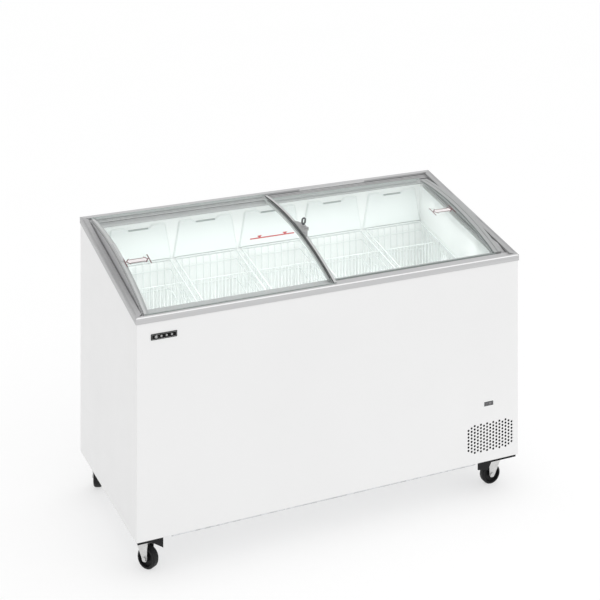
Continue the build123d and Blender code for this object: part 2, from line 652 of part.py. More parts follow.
def condenser():
    """Finned block behind the air holes: fins threaded on tube runs."""
    x0, x1, y0, y1, z0, z1 = FAN_X - 88, FAN_X + 88, CONDENSER_Y - 18, CONDENSER_Y + 18, PAN_TOP + 6, 290
    ends = [block(x, x + 2, y0, y1, PAN_TOP, z1 + 4) for x in (x0 - 4, x1 + 2)]
    fins = [block(x0 + 4 + 8 * n, x0 + 5 + 8 * n, y0, y1, z0, z1) for n in range(22)]
    spots = [(CONDENSER_Y + dy, z) for dy in (-9, 9) for z in range(145, 286, 28)]
    runs = [rod(x0 - 4, y, z, 4, x1 - x0 + 8, "x") for y, z in spots]
    block_shape = ends[0]
    for piece in ends[1:] + runs + fins:
        block_shape = block_shape + piece
    return block_shape


FAN_Y = CONDENSER_Y + 20
FAN_R = 70.0
SHAFT_R = 3.0


def fan_shroud():
    """Square shroud with a round throat and a spider that holds the motor."""
    plate = block(FAN_X - 86, FAN_X + 86, FAN_Y, FAN_Y + 2, PAN_TOP + 2, 288)
    ring = rod(FAN_X, FAN_Y, FAN_Z, FAN_R + 5, 26, "y")
    throat = rod(FAN_X, FAN_Y - 5, FAN_Z, FAN_R + 3, 40, "y")
    arms = block(FAN_X - FAN_R - 4, FAN_X + FAN_R + 4, FAN_Y + 24, FAN_Y + 28, FAN_Z - 5, FAN_Z + 5)
    arms = arms + block(FAN_X - 5, FAN_X + 5, FAN_Y + 24, FAN_Y + 28, FAN_Z - FAN_R - 4, FAN_Z + FAN_R + 4)
    arms = arms - rod(FAN_X, FAN_Y, FAN_Z, SHAFT_R + 1.5, 40, "y")
    return plate + ring - throat + arms


def fan_motor():
    """Fan motor bolted to the spider, with its shaft through the hub."""
    arm_y = FAN_Y + 28
    body = rod(FAN_X, arm_y, FAN_Z, 24, 42, "y")
    body = fillet(body.edges().sort_by(Axis.Y)[-1], 6)
    lamination = block(FAN_X - 28, FAN_X + 28, arm_y + 8, arm_y + 24, FAN_Z - 28, FAN_Z + 28)
    shaft = rod(FAN_X, FAN_Y + 7, FAN_Z, SHAFT_R, 26, "y")
    return body + lamination + shaft


def fan_blades():
    """Hub and five pitched blades."""
    hub = rod(FAN_X, FAN_Y + 6, FAN_Z, 16, 14, "y")
    fan = hub
    for n in range(5):
        blade = Pos(42, 0, 0) * Rot(32, 0, 0) * Box(56, 22, 1.6)
        fan = fan + Pos(FAN_X, FAN_Y + 13, FAN_Z) * Rot(0, 72 * n, 0) * blade
    return fan - rod(FAN_X, FAN_Y, FAN_Z, SHAFT_R + 0.05, 40, "y")


def filter_drier():
    """Copper drier with drawn-down ends."""
    drier = rod(MACHINE_X + 16, -150, 250, 9, 80, "y")
    ends = rod(MACHINE_X + 16, -162, 250, 3.2, 104, "y")
    return drier + ends


def refrigerant_pipes():
    """Suction and discharge pipes with vibration loops."""
    cx, cy = COMPRESSOR
    z = PAN_TOP + 12 + 40
    left = MACHINE_X + 40
    suction = tube([(cx - 30, cy - 70, z), (cx - 30, -100, z), (cx - 30, -100, 280), (left, -100, 280),
                    (left, 160, 280)], 3.2, 14)
    x = cx + 40
    discharge = tube([(x, -40, 150), (x, -110, 150), (x, -110, 300), (x, -240, 300)], 3.0, 14)
    return Compound(children=[suction, discharge])


def relay_box():
    """Start relay and terminal cover on the side of the compressor."""
    cx, cy = COMPRESSOR
    box = block(cx - 32, cx + 32, cy + 62, cy + 96, PAN_TOP + 30, PAN_TOP + 80)
    return fillet(box.edges().filter_by(Axis.Z), 5)


def thermostat_body():
    """Thermostat behind the rear grille, with its spindle bearing."""
    x, z = THERMOSTAT_X, THERMOSTAT_Z
    body = block(x - 18, x + 18, BODY_Y - 40, BODY_Y - 10, z - 18, z + 18)
    return body - rod(THERMOSTAT_X, BODY_Y - 22, THERMOSTAT_Z, 3.05, 20, "y")


def thermostat_knob():
    """Knob with a pointer rib, recessed so that the back stays flat."""
    knob = rod(THERMOSTAT_X, BODY_Y - 9, THERMOSTAT_Z, 14, 6, "y")
    x, z = THERMOSTAT_X, THERMOSTAT_Z
    rib = block(x - 2, x + 2, BODY_Y - 4, BODY_Y - 0.5, z - 11, z + 13)
    spindle = rod(THERMOSTAT_X, BODY_Y - 21, THERMOSTAT_Z, 3, 14, "y")
    return knob + rib + spindle


def power_cord():
    """Mains lead, coiled and tied inside the compartment, with its plug."""
    coil = Pos(MACHINE_X + 60, 250, 200) * Rot(0, 90, 0) * Torus(38, 4)
    second = Pos(MACHINE_X + 67, 250, 200) * Rot(0, 90, 0) * Torus(38, 4)
    tie = block(MACHINE_X + 54, MACHINE_X + 73, 206, 218, 196, 204)
    plug = Pos(MACHINE_X + 63, 250, 162) * Box(30, 44, 30)
    plug = fillet(plug.edges().filter_by(Axis.X), 8)
    return coil + second + tie + plug


def panel_screws():
    """Screws that hold the rear grille."""
    screws = []
    for x in (GRILLE_X[0] + 6, GRILLE_X[1] - 6):
        for z in (GRILLE_Z[0] + 6, GRILLE_Z[1] - 6):
            screws.append(rod(x, BODY_Y - 12, z, 2.5, 8 - 0.2, "y"))
    return Compound(children=screws)


# ---------------------------------------------------------------- baskets
BASKET_GAP = 12.0
BASKET_FLOOR = 470.0
RIM_R = 3.0


def basket():
    """Tapered open basket with a sloped rim, centred on X = 0."""
    half = (PANEL_PITCH - BASKET_GAP) / 2 - 1.0
    depth = LINER_Y - 3
    rim_y = COLLAR_Y - 6.5
    wall = 3.0
    drop = COLLAR_DEPTH - COLLAR_T - RIM_R
    taper = 10.0
    corners = [(-1, -1), (1, -1), (1, 1), (-1, 1)]

    def tub(inset, floor, lift):
        """Loft from the sloped rim down to a smaller level floor."""
        spots = [(sx * (half - inset), sy * (depth - inset)) for sx, sy in corners]
        top = [Vector(x, y, top_z(y) - drop + lift) for x, y in spots]
        shrink = taper + inset
        foot = [Vector(sx * (half - shrink), sy * (depth - shrink), floor) for sx, sy in corners]
        return Solid.make_loft([Wire.make_polygon(ring, close=True) for ring in (top, foot)], True)

    rim = slant(-half, half, -rim_y, rim_y, drop - RIM_R, drop + RIM_R)
    inner = slant(-half + 2 * RIM_R, half - 2 * RIM_R, -LINER_Y + 6, LINER_Y - 6, 0, 400)
    opening = inner & slant(-half, half, -rim_y, rim_y, drop - RIM_R - 5, drop + RIM_R)
    return (tub(0, BASKET_FLOOR, 0) + rim) - tub(wall, BASKET_FLOOR + wall, 1) - opening


# ---------------------------------------------------------------- castors
CASTOR_X = 602.0
CASTOR_Y = {-1: -252.0, 1: 288.0}             # front pair, rear pair
BRACKET_T = 3.0
PLATE_T = 3.0
SWIVEL_TOP = BODY_BOTTOM - BRACKET_T - PLATE_T
AXLE_R = 4.0
CHEEK_X = 16.0
CHEEK_TOP = 28.0                              # half width of a fork cheek at its top
FLANGE = 10.0                                 # depth of the brackets' front flange
BRACKET_X = {-1: (-642.0, -564.0), 1: (500.0, 642.0)}      # the right pair is longer, under the compressor


def corner_bracket(side, end):
    """Folded black plate under a corner; its flange runs out into a pointed tab."""
    x0, x1 = BRACKET_X[side]
    y0, y1 = sorted((end * (BODY_Y - 127), end * (BODY_Y - 7)))
    plate = block(x0, x1, y0, y1, BODY_BOTTOM - BRACKET_T, BODY_BOTTOM)
    tab_y = sorted((end * (BODY_Y - 7), end * (BODY_Y - 7 - BRACKET_T)))
    if side < 0:
        edge = [(x1, 34), (x1 - 37, FLANGE), (x0, FLANGE)]
    else:
        edge = [(x1, FLANGE), (x0 + 50, FLANGE), (x0 + 37, 34), (x0, 26)]
    outline = [(x0, BODY_BOTTOM), (x1, BODY_BOTTOM)] + [(x, BODY_BOTTOM - drop) for x, drop in edge]
    tab = Pos(0, tab_y[1], 0) * Rot(90, 0, 0) * extrude(make_face(Polyline(*outline, close=True)), BRACKET_T)
    lip_x = (x0, x0 + BRACKET_T) if side < 0 else (x1 - BRACKET_T, x1)
    lip = block(*lip_x, y0, y1, BODY_BOTTOM - 9, BODY_BOTTOM)
    return plate + tab + lip


def castor_places():
    """The four castor positions, front left first."""
    return [(side, end) for end in (-1, 1) for side in (-1, 1)]


def castor_plate(side, end):
    """Zinc top plate with its lower ball race and king pin."""
    x, y = side * CASTOR_X, CASTOR_Y[end]
    z1 = BODY_BOTTOM - BRACKET_T
    plate = Pos(x, y, z1 - PLATE_T) * extrude(RectangleRounded(73, 62, 8), PLATE_T)
    race = Pos(x, y, SWIVEL_TOP - 4) * extrude(Circle(22), 4)
    pin = Pos(x, y, SWIVEL_TOP - 13) * extrude(Circle(5), 13)
    head = Pos(x, y, SWIVEL_TOP - 14) * extrude(Circle(8), 3)
    spots = [(x + sx * 31, y + sy * 24) for sx in (-1, 1) for sy in (-1, 1)]
    holes = [Pos(hx, hy, z1 - 10) * extrude(Circle(3.3), 20) for hx, hy in spots]
    return plate - holes + race + pin + head


def castor_screws():
    """Screws through the top plates: hexagon heads under each plate."""
    screws = []
    for side, end in castor_places():
        for sx in (-1, 1):
            for sy in (-1, 1):
                x, y = side * CASTOR_X + sx * 31, CASTOR_Y[end] + sy * 24
                head = Pos(x, y, SWIVEL_TOP - 4) * extrude(RegularPolygon(5.6, 6), 4)
                shank = Pos(x, y, SWIVEL_TOP) * extrude(Circle(3.0), PLATE_T)
                screws.append(head + shank)
    return Compound(children=screws)


def castor_fork(side, end, heading):
    """Pressed zinc fork with triangular cheeks, and the axle bolt through it."""
    crown_z = SWIVEL_TOP - 9
    crown = Pos(0, 0, crown_z) * extrude(Circle(23), 3.6)
    crown = crown - Pos(0, 0, crown_z - 5) * extrude(Circle(5.06), 20)
    bridge = block(-CHEEK_TOP, CHEEK_TOP, -CHEEK_X, CHEEK_X, crown_z, crown_z + 2.5)
    crown = crown + (bridge - Pos(0, 0, crown_z - 5) * extrude(Circle(5.06), 20))
    outline = [
        (CHEEK_TOP, crown_z + 2.5), (-CHEEK_TOP, crown_z + 2.5), (-TRAIL - 9, WHEEL_R),
        (-TRAIL - 5, WHEEL_R - 9), (-TRAIL + 6, WHEEL_R - 9), (-TRAIL + 11, WHEEL_R - 1)]
    face = make_face(Polyline(*outline, close=True))
    face = fillet(face.vertices().group_by(Axis.Y)[0] + face.vertices().group_by(Axis.Y)[1], 4.0)
    cheek = Rot(90, 0, 0) * extrude(face, 2.2)
    bolt_hole = rod(-TRAIL, -40, WHEEL_R, AXLE_R, 80, "y")
    cheeks = [Pos(0, -CHEEK_X + 2.2, 0) * cheek - bolt_hole, Pos(0, CHEEK_X, 0) * cheek - bolt_hole]
    fork = crown
    for one in cheeks:
        fork = fork + one
    axle = rod(-TRAIL, -CHEEK_X - 0.4, WHEEL_R, AXLE_R - 0.02, 2 * CHEEK_X + 0.8, "y")
    heads = [rod(-TRAIL, y, WHEEL_R, 6.5, 4, "y") for y in (-CHEEK_X - 4.4, CHEEK_X + 0.4)]
    axle = axle + heads[0] + heads[1]
    place = Pos(side * CASTOR_X, CASTOR_Y[end], 0) * Rot(0, 0, heading)
    return Compound(children=[place * fork, place * axle])


def castor_wheel(side, end, heading):
    """Plastic wheel with a rounded tread, recessed web and hub."""
    half = WHEEL_W / 2
    near = [
        (AXLE_R + 0.05, half + 1.2), (11, half + 1.2), (11, 4), (24, 4), (26, half), (WHEEL_R - 3, half),
        (WHEEL_R, half - 4)]
    section = [(r, -z) for r, z in near] + [(r, z) for r, z in reversed(near)]
    wheel = revolve(Plane.XZ * make_face(Polyline(*section, close=True)), Axis.Z, 360)
    wheel = Pos(-TRAIL, 0, WHEEL_R) * Rot(90, 0, 0) * wheel
    return Pos(side * CASTOR_X, CASTOR_Y[end], 0) * Rot(0, 0, heading) * wheel


# ---------------------------------------------------------------- write every sub-part
CASTOR_NAMES = {(-1, -1): "front_left", (1, -1): "front_right", (-1, 1): "rear_left", (1, 1): "rear_right"}
HEADINGS = {(-1, -1): 122.0, (1, -1): 0.0, (-1, 1): -116.0, (1, 1): 25.0}

save("outer_wrap", outer_wrap())
save("rear_panel", rear_panel())
save("rear_grille", rear_grille())
save("base_pan", base_pan())
save("foam_insulation", foam_insulation())
save("inner_liner", inner_liner())
save("inner_collar", inner_collar())
save("collar_back_panels", collar_back_panels())
save("front_rail", front_rail())
save("back_rail", back_rail())
save("side_rails", side_rails())
save("side_gables", side_gables())
save("left_lid_glass", TOP * lid_glass(LID_RADIUS + LID_STEP, UPPER_BARS, UPPER_HALF))
save("left_lid_end_bar", TOP * left_lid_end_bar())
save("left_lid_middle_bar", TOP * left_lid_middle_bar())
save("left_lid_seal", TOP * left_lid_seal())
save("left_lid_glides", lid_glides(LID_RADIUS + LID_STEP, UPPER_BARS, UPPER_HALF, UPPER_TRACK))
save("right_lid_glass", TOP * lid_glass(LID_RADIUS, LOWER_BARS, LOWER_HALF))
save("right_lid_end_bar", TOP * right_lid_end_bar())
save("right_lid_middle_bar", TOP * right_lid_middle_bar())
save("right_lid_seal", TOP * right_lid_seal())
save("right_lid_glides", lid_glides(LID_RADIUS, LOWER_BARS, LOWER_HALF, LOWER_TRACK))
save("lock_housing", lock_housing())
save("lock_barrel", lock_barrel())
save("lock_key", lock_key())
save("front_badge", front_badge())
save("rail_label_strip", rail_label_strip())
save("load_line_label", load_line_label())
save("thermometer_bezel", thermometer_bezel())
save("thermometer_display", thermometer_display())
save("evaporator_coil", evaporator_coil())
save("compressor", compressor())
save("compressor_feet", compressor_feet())
save("condenser", condenser())
save("fan_shroud", fan_shroud())
save("fan_motor", fan_motor())
save("fan_blades", fan_blades())
save("filter_drier", filter_drier())
save("refrigerant_pipes", refrigerant_pipes())
save("relay_box", relay_box())
save("thermostat_body", thermostat_body())
save("thermostat_knob", thermostat_knob())
save("power_cord", power_cord())
save("panel_screws", panel_screws())

one_basket = basket()
for number in range(BASKETS):
    centre = (number - (BASKETS - 1) / 2) * PANEL_PITCH
    save(f"basket_{number + 1}", Pos(centre, 0, 0) * one_basket)

save("castor_brackets", Compound(children=[corner_bracket(*place) for place in castor_places()]))
save("castor_plates", Compound(children=[castor_plate(*place) for place in castor_places()]))
save("castor_screws", castor_screws())
for place in castor_places():
    save(f"castor_fork_{CASTOR_NAMES[place]}", castor_fork(*place, HEADINGS[place]))
    save(f"castor_wheel_{CASTOR_NAMES[place]}", castor_wheel(*place, HEADINGS[place]))
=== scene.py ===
"""Looks of a display chest freezer: finishes, wire baskets, prints, stage, lights and camera."""
import json
from math import cos, pi, radians, sin, tan

import bmesh
import bpy
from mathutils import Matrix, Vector
from mathutils.bvhtree import BVHTree


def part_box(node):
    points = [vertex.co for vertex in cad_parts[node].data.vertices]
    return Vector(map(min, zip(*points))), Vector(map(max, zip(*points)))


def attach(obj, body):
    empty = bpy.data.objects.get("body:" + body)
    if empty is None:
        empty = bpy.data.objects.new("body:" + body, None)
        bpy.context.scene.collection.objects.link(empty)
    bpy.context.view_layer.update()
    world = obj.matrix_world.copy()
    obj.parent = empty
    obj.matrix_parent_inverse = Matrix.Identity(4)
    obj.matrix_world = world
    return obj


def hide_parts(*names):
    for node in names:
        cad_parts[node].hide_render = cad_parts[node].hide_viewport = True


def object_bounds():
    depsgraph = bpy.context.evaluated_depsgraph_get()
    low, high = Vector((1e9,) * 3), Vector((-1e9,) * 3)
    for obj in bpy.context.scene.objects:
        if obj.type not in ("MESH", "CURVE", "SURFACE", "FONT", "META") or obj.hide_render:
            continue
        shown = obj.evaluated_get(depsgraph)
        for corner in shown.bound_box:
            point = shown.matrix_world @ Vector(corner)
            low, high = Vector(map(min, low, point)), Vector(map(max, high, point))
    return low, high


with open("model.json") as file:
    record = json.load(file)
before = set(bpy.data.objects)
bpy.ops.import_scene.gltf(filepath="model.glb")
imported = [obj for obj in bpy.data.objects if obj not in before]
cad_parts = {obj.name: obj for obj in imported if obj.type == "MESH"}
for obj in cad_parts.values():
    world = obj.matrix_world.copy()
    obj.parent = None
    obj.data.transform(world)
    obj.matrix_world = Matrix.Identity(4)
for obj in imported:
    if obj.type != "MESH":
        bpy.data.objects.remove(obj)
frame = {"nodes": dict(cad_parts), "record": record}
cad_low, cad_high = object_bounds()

# ---------------------------------------------------------------- sizes in metres, as in the CAD
MM = 0.001
SLOPE = radians(10.0)                        # the top falls towards the front
UP_SLOPE = Vector((0.0, -sin(SLOPE), cos(SLOPE)))
HALF_W = 0.650                               # half the top frame's width
HALF_D = 0.335                               # half its depth
FRAME_TOP = UP_SLOPE.dot(Vector((0.0, HALF_D, 0.895)))      # the frame's top face, along UP_SLOPE
BASKETS = 5
PANEL_PITCH = 0.2348                         # between the moulded panels at the back of the collar
DIP_HALF = 0.034                             # half the width of the hand dip in each panel
GROOVE_SHADE_TOP = 7.6 * MM                        # painted shade in the lid tracks: a dark band from here
GROOVE_SHADE_FOOT = 10.5 * MM                      # to here below the frame's top face
GROOVE_SHADE_END_X = 10.0 * MM                     # the band stops short of the frame's ends by this much
GROOVE_SHADE_END_Y = 2.0 * MM


# ---------------------------------------------------------------- material helpers
class Finish:
    """One node material: a Principled shader plus the few nodes that every finish shares."""

    def __init__(self, name, colour, roughness, metallic=0.0, coat=0.0, specular=0.5):
        self.material = bpy.data.materials.new(name)
        self.material.use_nodes = True
        self.material.diffuse_color = (*colour, 1.0)
        self.tree = self.material.node_tree
        self.shader = self.tree.nodes["Principled BSDF"]
        self.set("Base Color", (*colour, 1.0))
        self.set("Roughness", roughness)
        self.set("Metallic", metallic)
        self.set("Coat Weight", coat)
        self.set("Specular IOR Level", specular)
        self.colour = colour
        self.roughness = roughness
        self.normal = None

    def set(self, socket, value):
        self.shader.inputs[socket].default_value = value

    def add(self, kind, **settings):
        made = self.tree.nodes.new(kind)
        for name, value in settings.items():
            setattr(made, name, value)
        return made

    def link(self, source, target):
        self.tree.links.new(source, target)

    def place(self, stretch=(1.0, 1.0, 1.0)):
        """Object coordinates in metres, stretched per axis."""
        coords = self.add("ShaderNodeTexCoord")
        mapping = self.add("ShaderNodeMapping")
        mapping.inputs["Scale"].default_value = stretch
        self.link(coords.outputs["Object"], mapping.inputs["Vector"])
        return mapping.outputs["Vector"]

    def noise(self, scale, detail=2.0, stretch=(1.0, 1.0, 1.0)):
        made = self.add("ShaderNodeTexNoise")
        made.inputs["Scale"].default_value = scale
        made.inputs["Detail"].default_value = detail
        self.link(self.place(stretch), made.inputs["Vector"])
        return made.outputs["Fac"]

    def cells(self, scale, feature="F1", output="Distance"):
        made = self.add("ShaderNodeTexVoronoi", feature=feature)
        made.inputs["Scale"].default_value = scale
        self.link(self.place(), made.inputs["Vector"])
        return made.outputs[output]

    def spread(self, source, low, high, source_low=0.3, source_high=0.7):
        """A value remapped from its usual range to low..high."""
        made = self.add("ShaderNodeMapRange")
        limits = {"From Min": source_low, "From Max": source_high, "To Min": low, "To Max": high}
        for name, value in limits.items():
            made.inputs[name].default_value = value
        self.link(source, made.inputs["Value"])
        return made.outputs["Result"]

    def mix(self, amount, first, second):
        """A colour between two others; each is a colour or a socket."""
        made = self.add("ShaderNodeMix", data_type="RGBA")
        self.link(amount, made.inputs[0])
        for socket, value in ((made.inputs[6], first), (made.inputs[7], second)):
            if isinstance(value, bpy.types.NodeSocket):
                self.link(value, socket)
            else:
                socket.default_value = (*value, 1.0)
        return made.outputs[2]

    def tint(self, source, change, low=0.3, high=0.7):
        """Vary the base colour by a share of itself, up and down."""
        dark = tuple(c * (1.0 - change) for c in self.colour)
        light = tuple(min(1.0, c * (1.0 + change)) for c in self.colour)
        amount = self.spread(source, 0.0, 1.0, low, high)
        self.paint(self.mix(amount, dark, light))

    def paint(self, colour):
        """Use a colour socket as the base colour."""
        self.base = colour
        self.link(colour, self.shader.inputs["Base Color"])

    def maths(self, operation, *values):
        """One sum of up to three values; each is a number or a socket."""
        made = self.add("ShaderNodeMath", operation=operation)
        for socket, value in zip(made.inputs, values):
            if isinstance(value, bpy.types.NodeSocket):
                self.link(value, socket)
            else:
                socket.default_value = value
        return made.outputs[0]

    def inside(self, value, low, high):
        """1 where a value lies between two limits, otherwise 0."""
        above = self.maths("GREATER_THAN", value, low)
        return self.maths("MULTIPLY", above, self.maths("LESS_THAN", value, high))

    def along(self, direction, of="Position"):
        """How far the point, or its normal, lies along a direction."""
        geometry = self.add("ShaderNodeNewGeometry")
        made = self.add("ShaderNodeVectorMath", operation="DOT_PRODUCT")
        made.inputs[1].default_value = direction
        self.link(geometry.outputs[of], made.inputs[0])
        return made.outputs["Value"]

    def blend(self, amount, first, second):
        """A shader between two others."""
        made = self.add("ShaderNodeMixShader")
        for source, socket in zip((amount, first.outputs[0], second.outputs[0]), made.inputs):
            self.link(source, socket)
        return made

    def vary_roughness(self, source, change, low=0.3, high=0.7):
        amount = self.spread(source, self.roughness - change, self.roughness + change, low, high)
        self.link(amount, self.shader.inputs["Roughness"])

    def bump(self, height, strength, distance):
        """Add a bump on top of any earlier one."""
        made = self.add("ShaderNodeBump")
        made.inputs["Strength"].default_value = strength
        made.inputs["Distance"].default_value = distance
        self.link(height, made.inputs["Height"])
        if self.normal is not None:
            self.link(self.normal, made.inputs["Normal"])
        self.normal = made.outputs["Normal"]
        self.link(self.normal, self.shader.inputs["Normal"])

    def soften(self, radius):
        """Rounded-looking edges, as pressed and moulded parts have."""
        made = self.add("ShaderNodeBevel", samples=4)
        made.inputs["Radius"].default_value = radius
        self.normal = made.outputs["Normal"]
        self.link(self.normal, self.shader.inputs["Normal"])


# ---------------------------------------------------------------- finishes
DIE_STRETCH = 0.004                          # how far noise is drawn out along a profile: smaller is longer
HIGHLIGHT_TOWARD = (0.0, -0.60, 0.80)             # painted highlight: the frame's rounded nose is painted bright where it faces this way
# colour of the painted highlight on the frame's nose
PAINTED_HIGHLIGHT_COLOUR = (0.96, 0.96, 0.96)
# dark colour of the painted shade on the floors of the lid tracks' grooves
GROOVE_SHADE_COLOUR = (0.08, 0.08, 0.085)
GROOVE_SHADE_SHARE = 0.85                          # share of the painted shade's colour over the frame's
SIDE_SHADE = 0.62                            # painted shade on the panels' sides: their colour as a share of the panels' own
# colour of the painted shade in the panels' hand dips
DIP_SHADE_COLOUR = (0.34, 0.38, 0.37)
GLASS_IOR = 1.45


def powder_coat(name, colour, roughness=0.42, coat=0.15, specular=0.5):
    """Sprayed enamel: orange peel, and a hardly visible drift in tone."""
    f = Finish(name, colour, roughness, coat=coat, specular=specular)
    f.soften(0.6 * MM)
    f.tint(f.noise(2.2, 3.0), 0.012)
    f.vary_roughness(f.noise(14.0, 4.0), 0.07)
    f.bump(f.noise(620.0, 2.0), 0.05, 0.12 * MM)
    f.bump(f.noise(5.0, 2.0), 0.05, 1.0 * MM)
    return f.material


def galvanised(name):
    """Zinc-coated steel sheet with spangle."""
    f = Finish(name, (0.66, 0.67, 0.68), 0.42, metallic=0.85)
    spangle = f.cells(70.0, output="Color")
    split = f.add("ShaderNodeSeparateColor")
    f.link(spangle, split.inputs[0])
    f.tint(split.outputs[0], 0.16, 0.0, 1.0)
    f.vary_roughness(split.outputs[1], 0.12, 0.0, 1.0)
    f.bump(split.outputs[2], 0.04, 0.1 * MM)
    f.bump(f.noise(900.0, 2.0), 0.03, 0.05 * MM)
    return f.material


def extrusion(name, colour, axis, metallic=0.35):
    """Drawn profile: fine die lines run along one axis, with soft streaks."""
    stretch = tuple(DIE_STRETCH if n == axis else 1.0 for n in range(3))
    f = Finish(name, colour, 0.36, metallic=metallic)
    f.soften(0.5 * MM)
    f.tint(f.noise(260.0, 3.0, stretch), 0.05)
    f.vary_roughness(f.noise(420.0, 2.0, stretch), 0.06)
    f.bump(f.noise(1500.0, 2.0, stretch), 0.06, 0.05 * MM)
    f.bump(f.noise(1300.0, 1.0), 0.02, 0.03 * MM)
    return f


def frame_extrusion(name, colour):
    """The frame's front and back profiles: a painted highlight on the nose, and a line of painted shade low
    in the lid tracks.
    """
    f = extrusion(name, colour, axis=0)
    # painted highlight where the rounded nose faces the light
    nose_highlight = f.spread(f.along(HIGHLIGHT_TOWARD, "Normal"), 0.0, 1.0, 0.90, 0.96)
    f.paint(f.mix(nose_highlight, f.base, PAINTED_HIGHLIGHT_COLOUR))
    # painted shade: a dark band low in the lid tracks, where the grooves lie in shade
    groove_shade = f.inside(f.along(UP_SLOPE), FRAME_TOP - GROOVE_SHADE_FOOT, FRAME_TOP - GROOVE_SHADE_TOP)
    for axis, reach in (((1.0, 0.0, 0.0), HALF_W - GROOVE_SHADE_END_X), ((0.0, 1.0, 0.0), HALF_D - GROOVE_SHADE_END_Y)):
        groove_shade = f.maths("MULTIPLY", groove_shade, f.inside(f.along(axis), -reach, reach))
    f.paint(f.mix(f.maths("MULTIPLY", groove_shade, GROOVE_SHADE_SHARE), f.base, GROOVE_SHADE_COLOUR))
    return f


def collar_panel(name, colour):
    """The moulded panels: sides and hand dips a little darker, as shade gathers there."""
    f = Finish(name, colour, 0.34)
    f.soften(0.4 * MM)
    f.tint(f.noise(9.0, 3.0), 0.01)
    # painted shade on the panels' sides, which turn away from the front
    sides = f.spread(f.along((0.0, -1.0, 0.0), "True Normal"), 0.6, 0.0, 0.3, 0.95)
    f.paint(f.mix(sides, f.base, tuple(c * SIDE_SHADE for c in colour)))
    # painted shade in the hand dips: the upward faces within each dip
    across = f.maths("WRAP", f.along((1.0, 0.0, 0.0)), PANEL_PITCH / 2, -PANEL_PITCH / 2)
    facing_up = f.maths("GREATER_THAN", f.along((0.0, 0.0, 1.0), "True Normal"), 0.6)
    dip_shade = f.maths("MULTIPLY", f.inside(across, -DIP_HALF, DIP_HALF), facing_up)
    f.paint(f.mix(dip_shade, f.base, DIP_SHADE_COLOUR))
    return f


def moulded(name, colour, roughness, coat=0.0):
    """Injection-moulded plastic: fine spark-eroded grain and faint flow tone."""
    f = Finish(name, colour, roughness, coat=coat)
    f.soften(0.4 * MM)
    f.tint(f.noise(9.0, 3.0), 0.02)
    f.vary_roughness(f.noise(30.0, 3.0), 0.05)
    f.bump(f.cells(700.0, "SMOOTH_F1"), 0.06, 0.1 * MM)
    return f.material


def stucco_liner(name):
    """White-lacquered aluminium with an embossed pebble pattern."""
    f = Finish(name, (0.95, 0.97, 0.96), 0.4, coat=0.1)
    f.tint(f.noise(3.0, 2.0), 0.012)
    f.bump(f.cells(170.0, "SMOOTH_F1"), 0.12, 0.35 * MM)
    f.bump(f.noise(60.0, 2.0), 0.06, 0.4 * MM)
    return f.material


def insulation_foam(name):
    """Yellowish foam with open cells."""
    f = Finish(name, (0.84, 0.77, 0.55), 0.85)
    f.tint(f.noise(40.0, 5.0), 0.12)
    f.bump(f.cells(650.0), 0.5, 0.6 * MM)
    return f.material


def bright_metal(name, colour, roughness):
    """Zinc or nickel plate: slightly cloudy, with fine random scratches."""
    f = Finish(name, colour, roughness, metallic=1.0)
    f.soften(0.3 * MM)
    f.tint(f.noise(90.0, 4.0), 0.06)
    f.vary_roughness(f.noise(240.0, 4.0), roughness * 0.4)
    f.bump(f.noise(1400.0, 2.0, (1.0, 0.15, 1.0)), 0.04, 0.04 * MM)
    return f.material


def copper_tube(name):
    """Drawn copper, darker in patches where it has been heated."""
    f = Finish(name, (0.80, 0.42, 0.26), 0.3, metallic=1.0)
    f.tint(f.noise(60.0, 5.0), 0.22)
    f.vary_roughness(f.noise(45.0, 4.0), 0.12)
    f.bump(f.noise(500.0, 2.0), 0.05, 0.05 * MM)
    return f.material


def soft_rubber(name):
    """Dark matt rubber."""
    f = Finish(name, (0.035, 0.035, 0.037), 0.62)
    f.tint(f.noise(80.0, 3.0), 0.25)
    f.bump(f.noise(900.0, 3.0), 0.15, 0.1 * MM)
    return f.material


def wheel_plastic(name):
    """Hard black wheel with a little floor dust in patches."""
    f = Finish(name, (0.012, 0.012, 0.013), 0.5, specular=0.22)
    f.soften(0.5 * MM)
    dust = f.noise(130.0, 5.0)
    f.paint(f.mix(f.spread(dust, 0.0, 0.35, 0.55, 0.8), f.colour, (0.06, 0.058, 0.055)))
    f.vary_roughness(dust, 0.15)
    f.bump(f.noise(700.0, 3.0), 0.1, 0.08 * MM)
    return f.material


def coated_wire(name):
    """Wire dipped in white plastic: glossy, thickness slightly uneven."""
    f = Finish(name, (0.84, 0.875, 0.865), 0.45, coat=0.05)
    f.tint(f.noise(120.0, 2.0), 0.015)
    f.bump(f.noise(380.0, 2.0), 0.12, 0.15 * MM)
    return f.material


def printed_film(name, colour):
    """Vinyl print: faint halftone grain under a semi-gloss film."""
    f = Finish(name, colour, 0.38, coat=0.2)
    f.tint(f.noise(1800.0, 1.0), 0.03)
    f.vary_roughness(f.noise(60.0, 2.0), 0.05)
    f.bump(f.noise(90.0, 2.0), 0.04, 0.1 * MM)
    return f.material


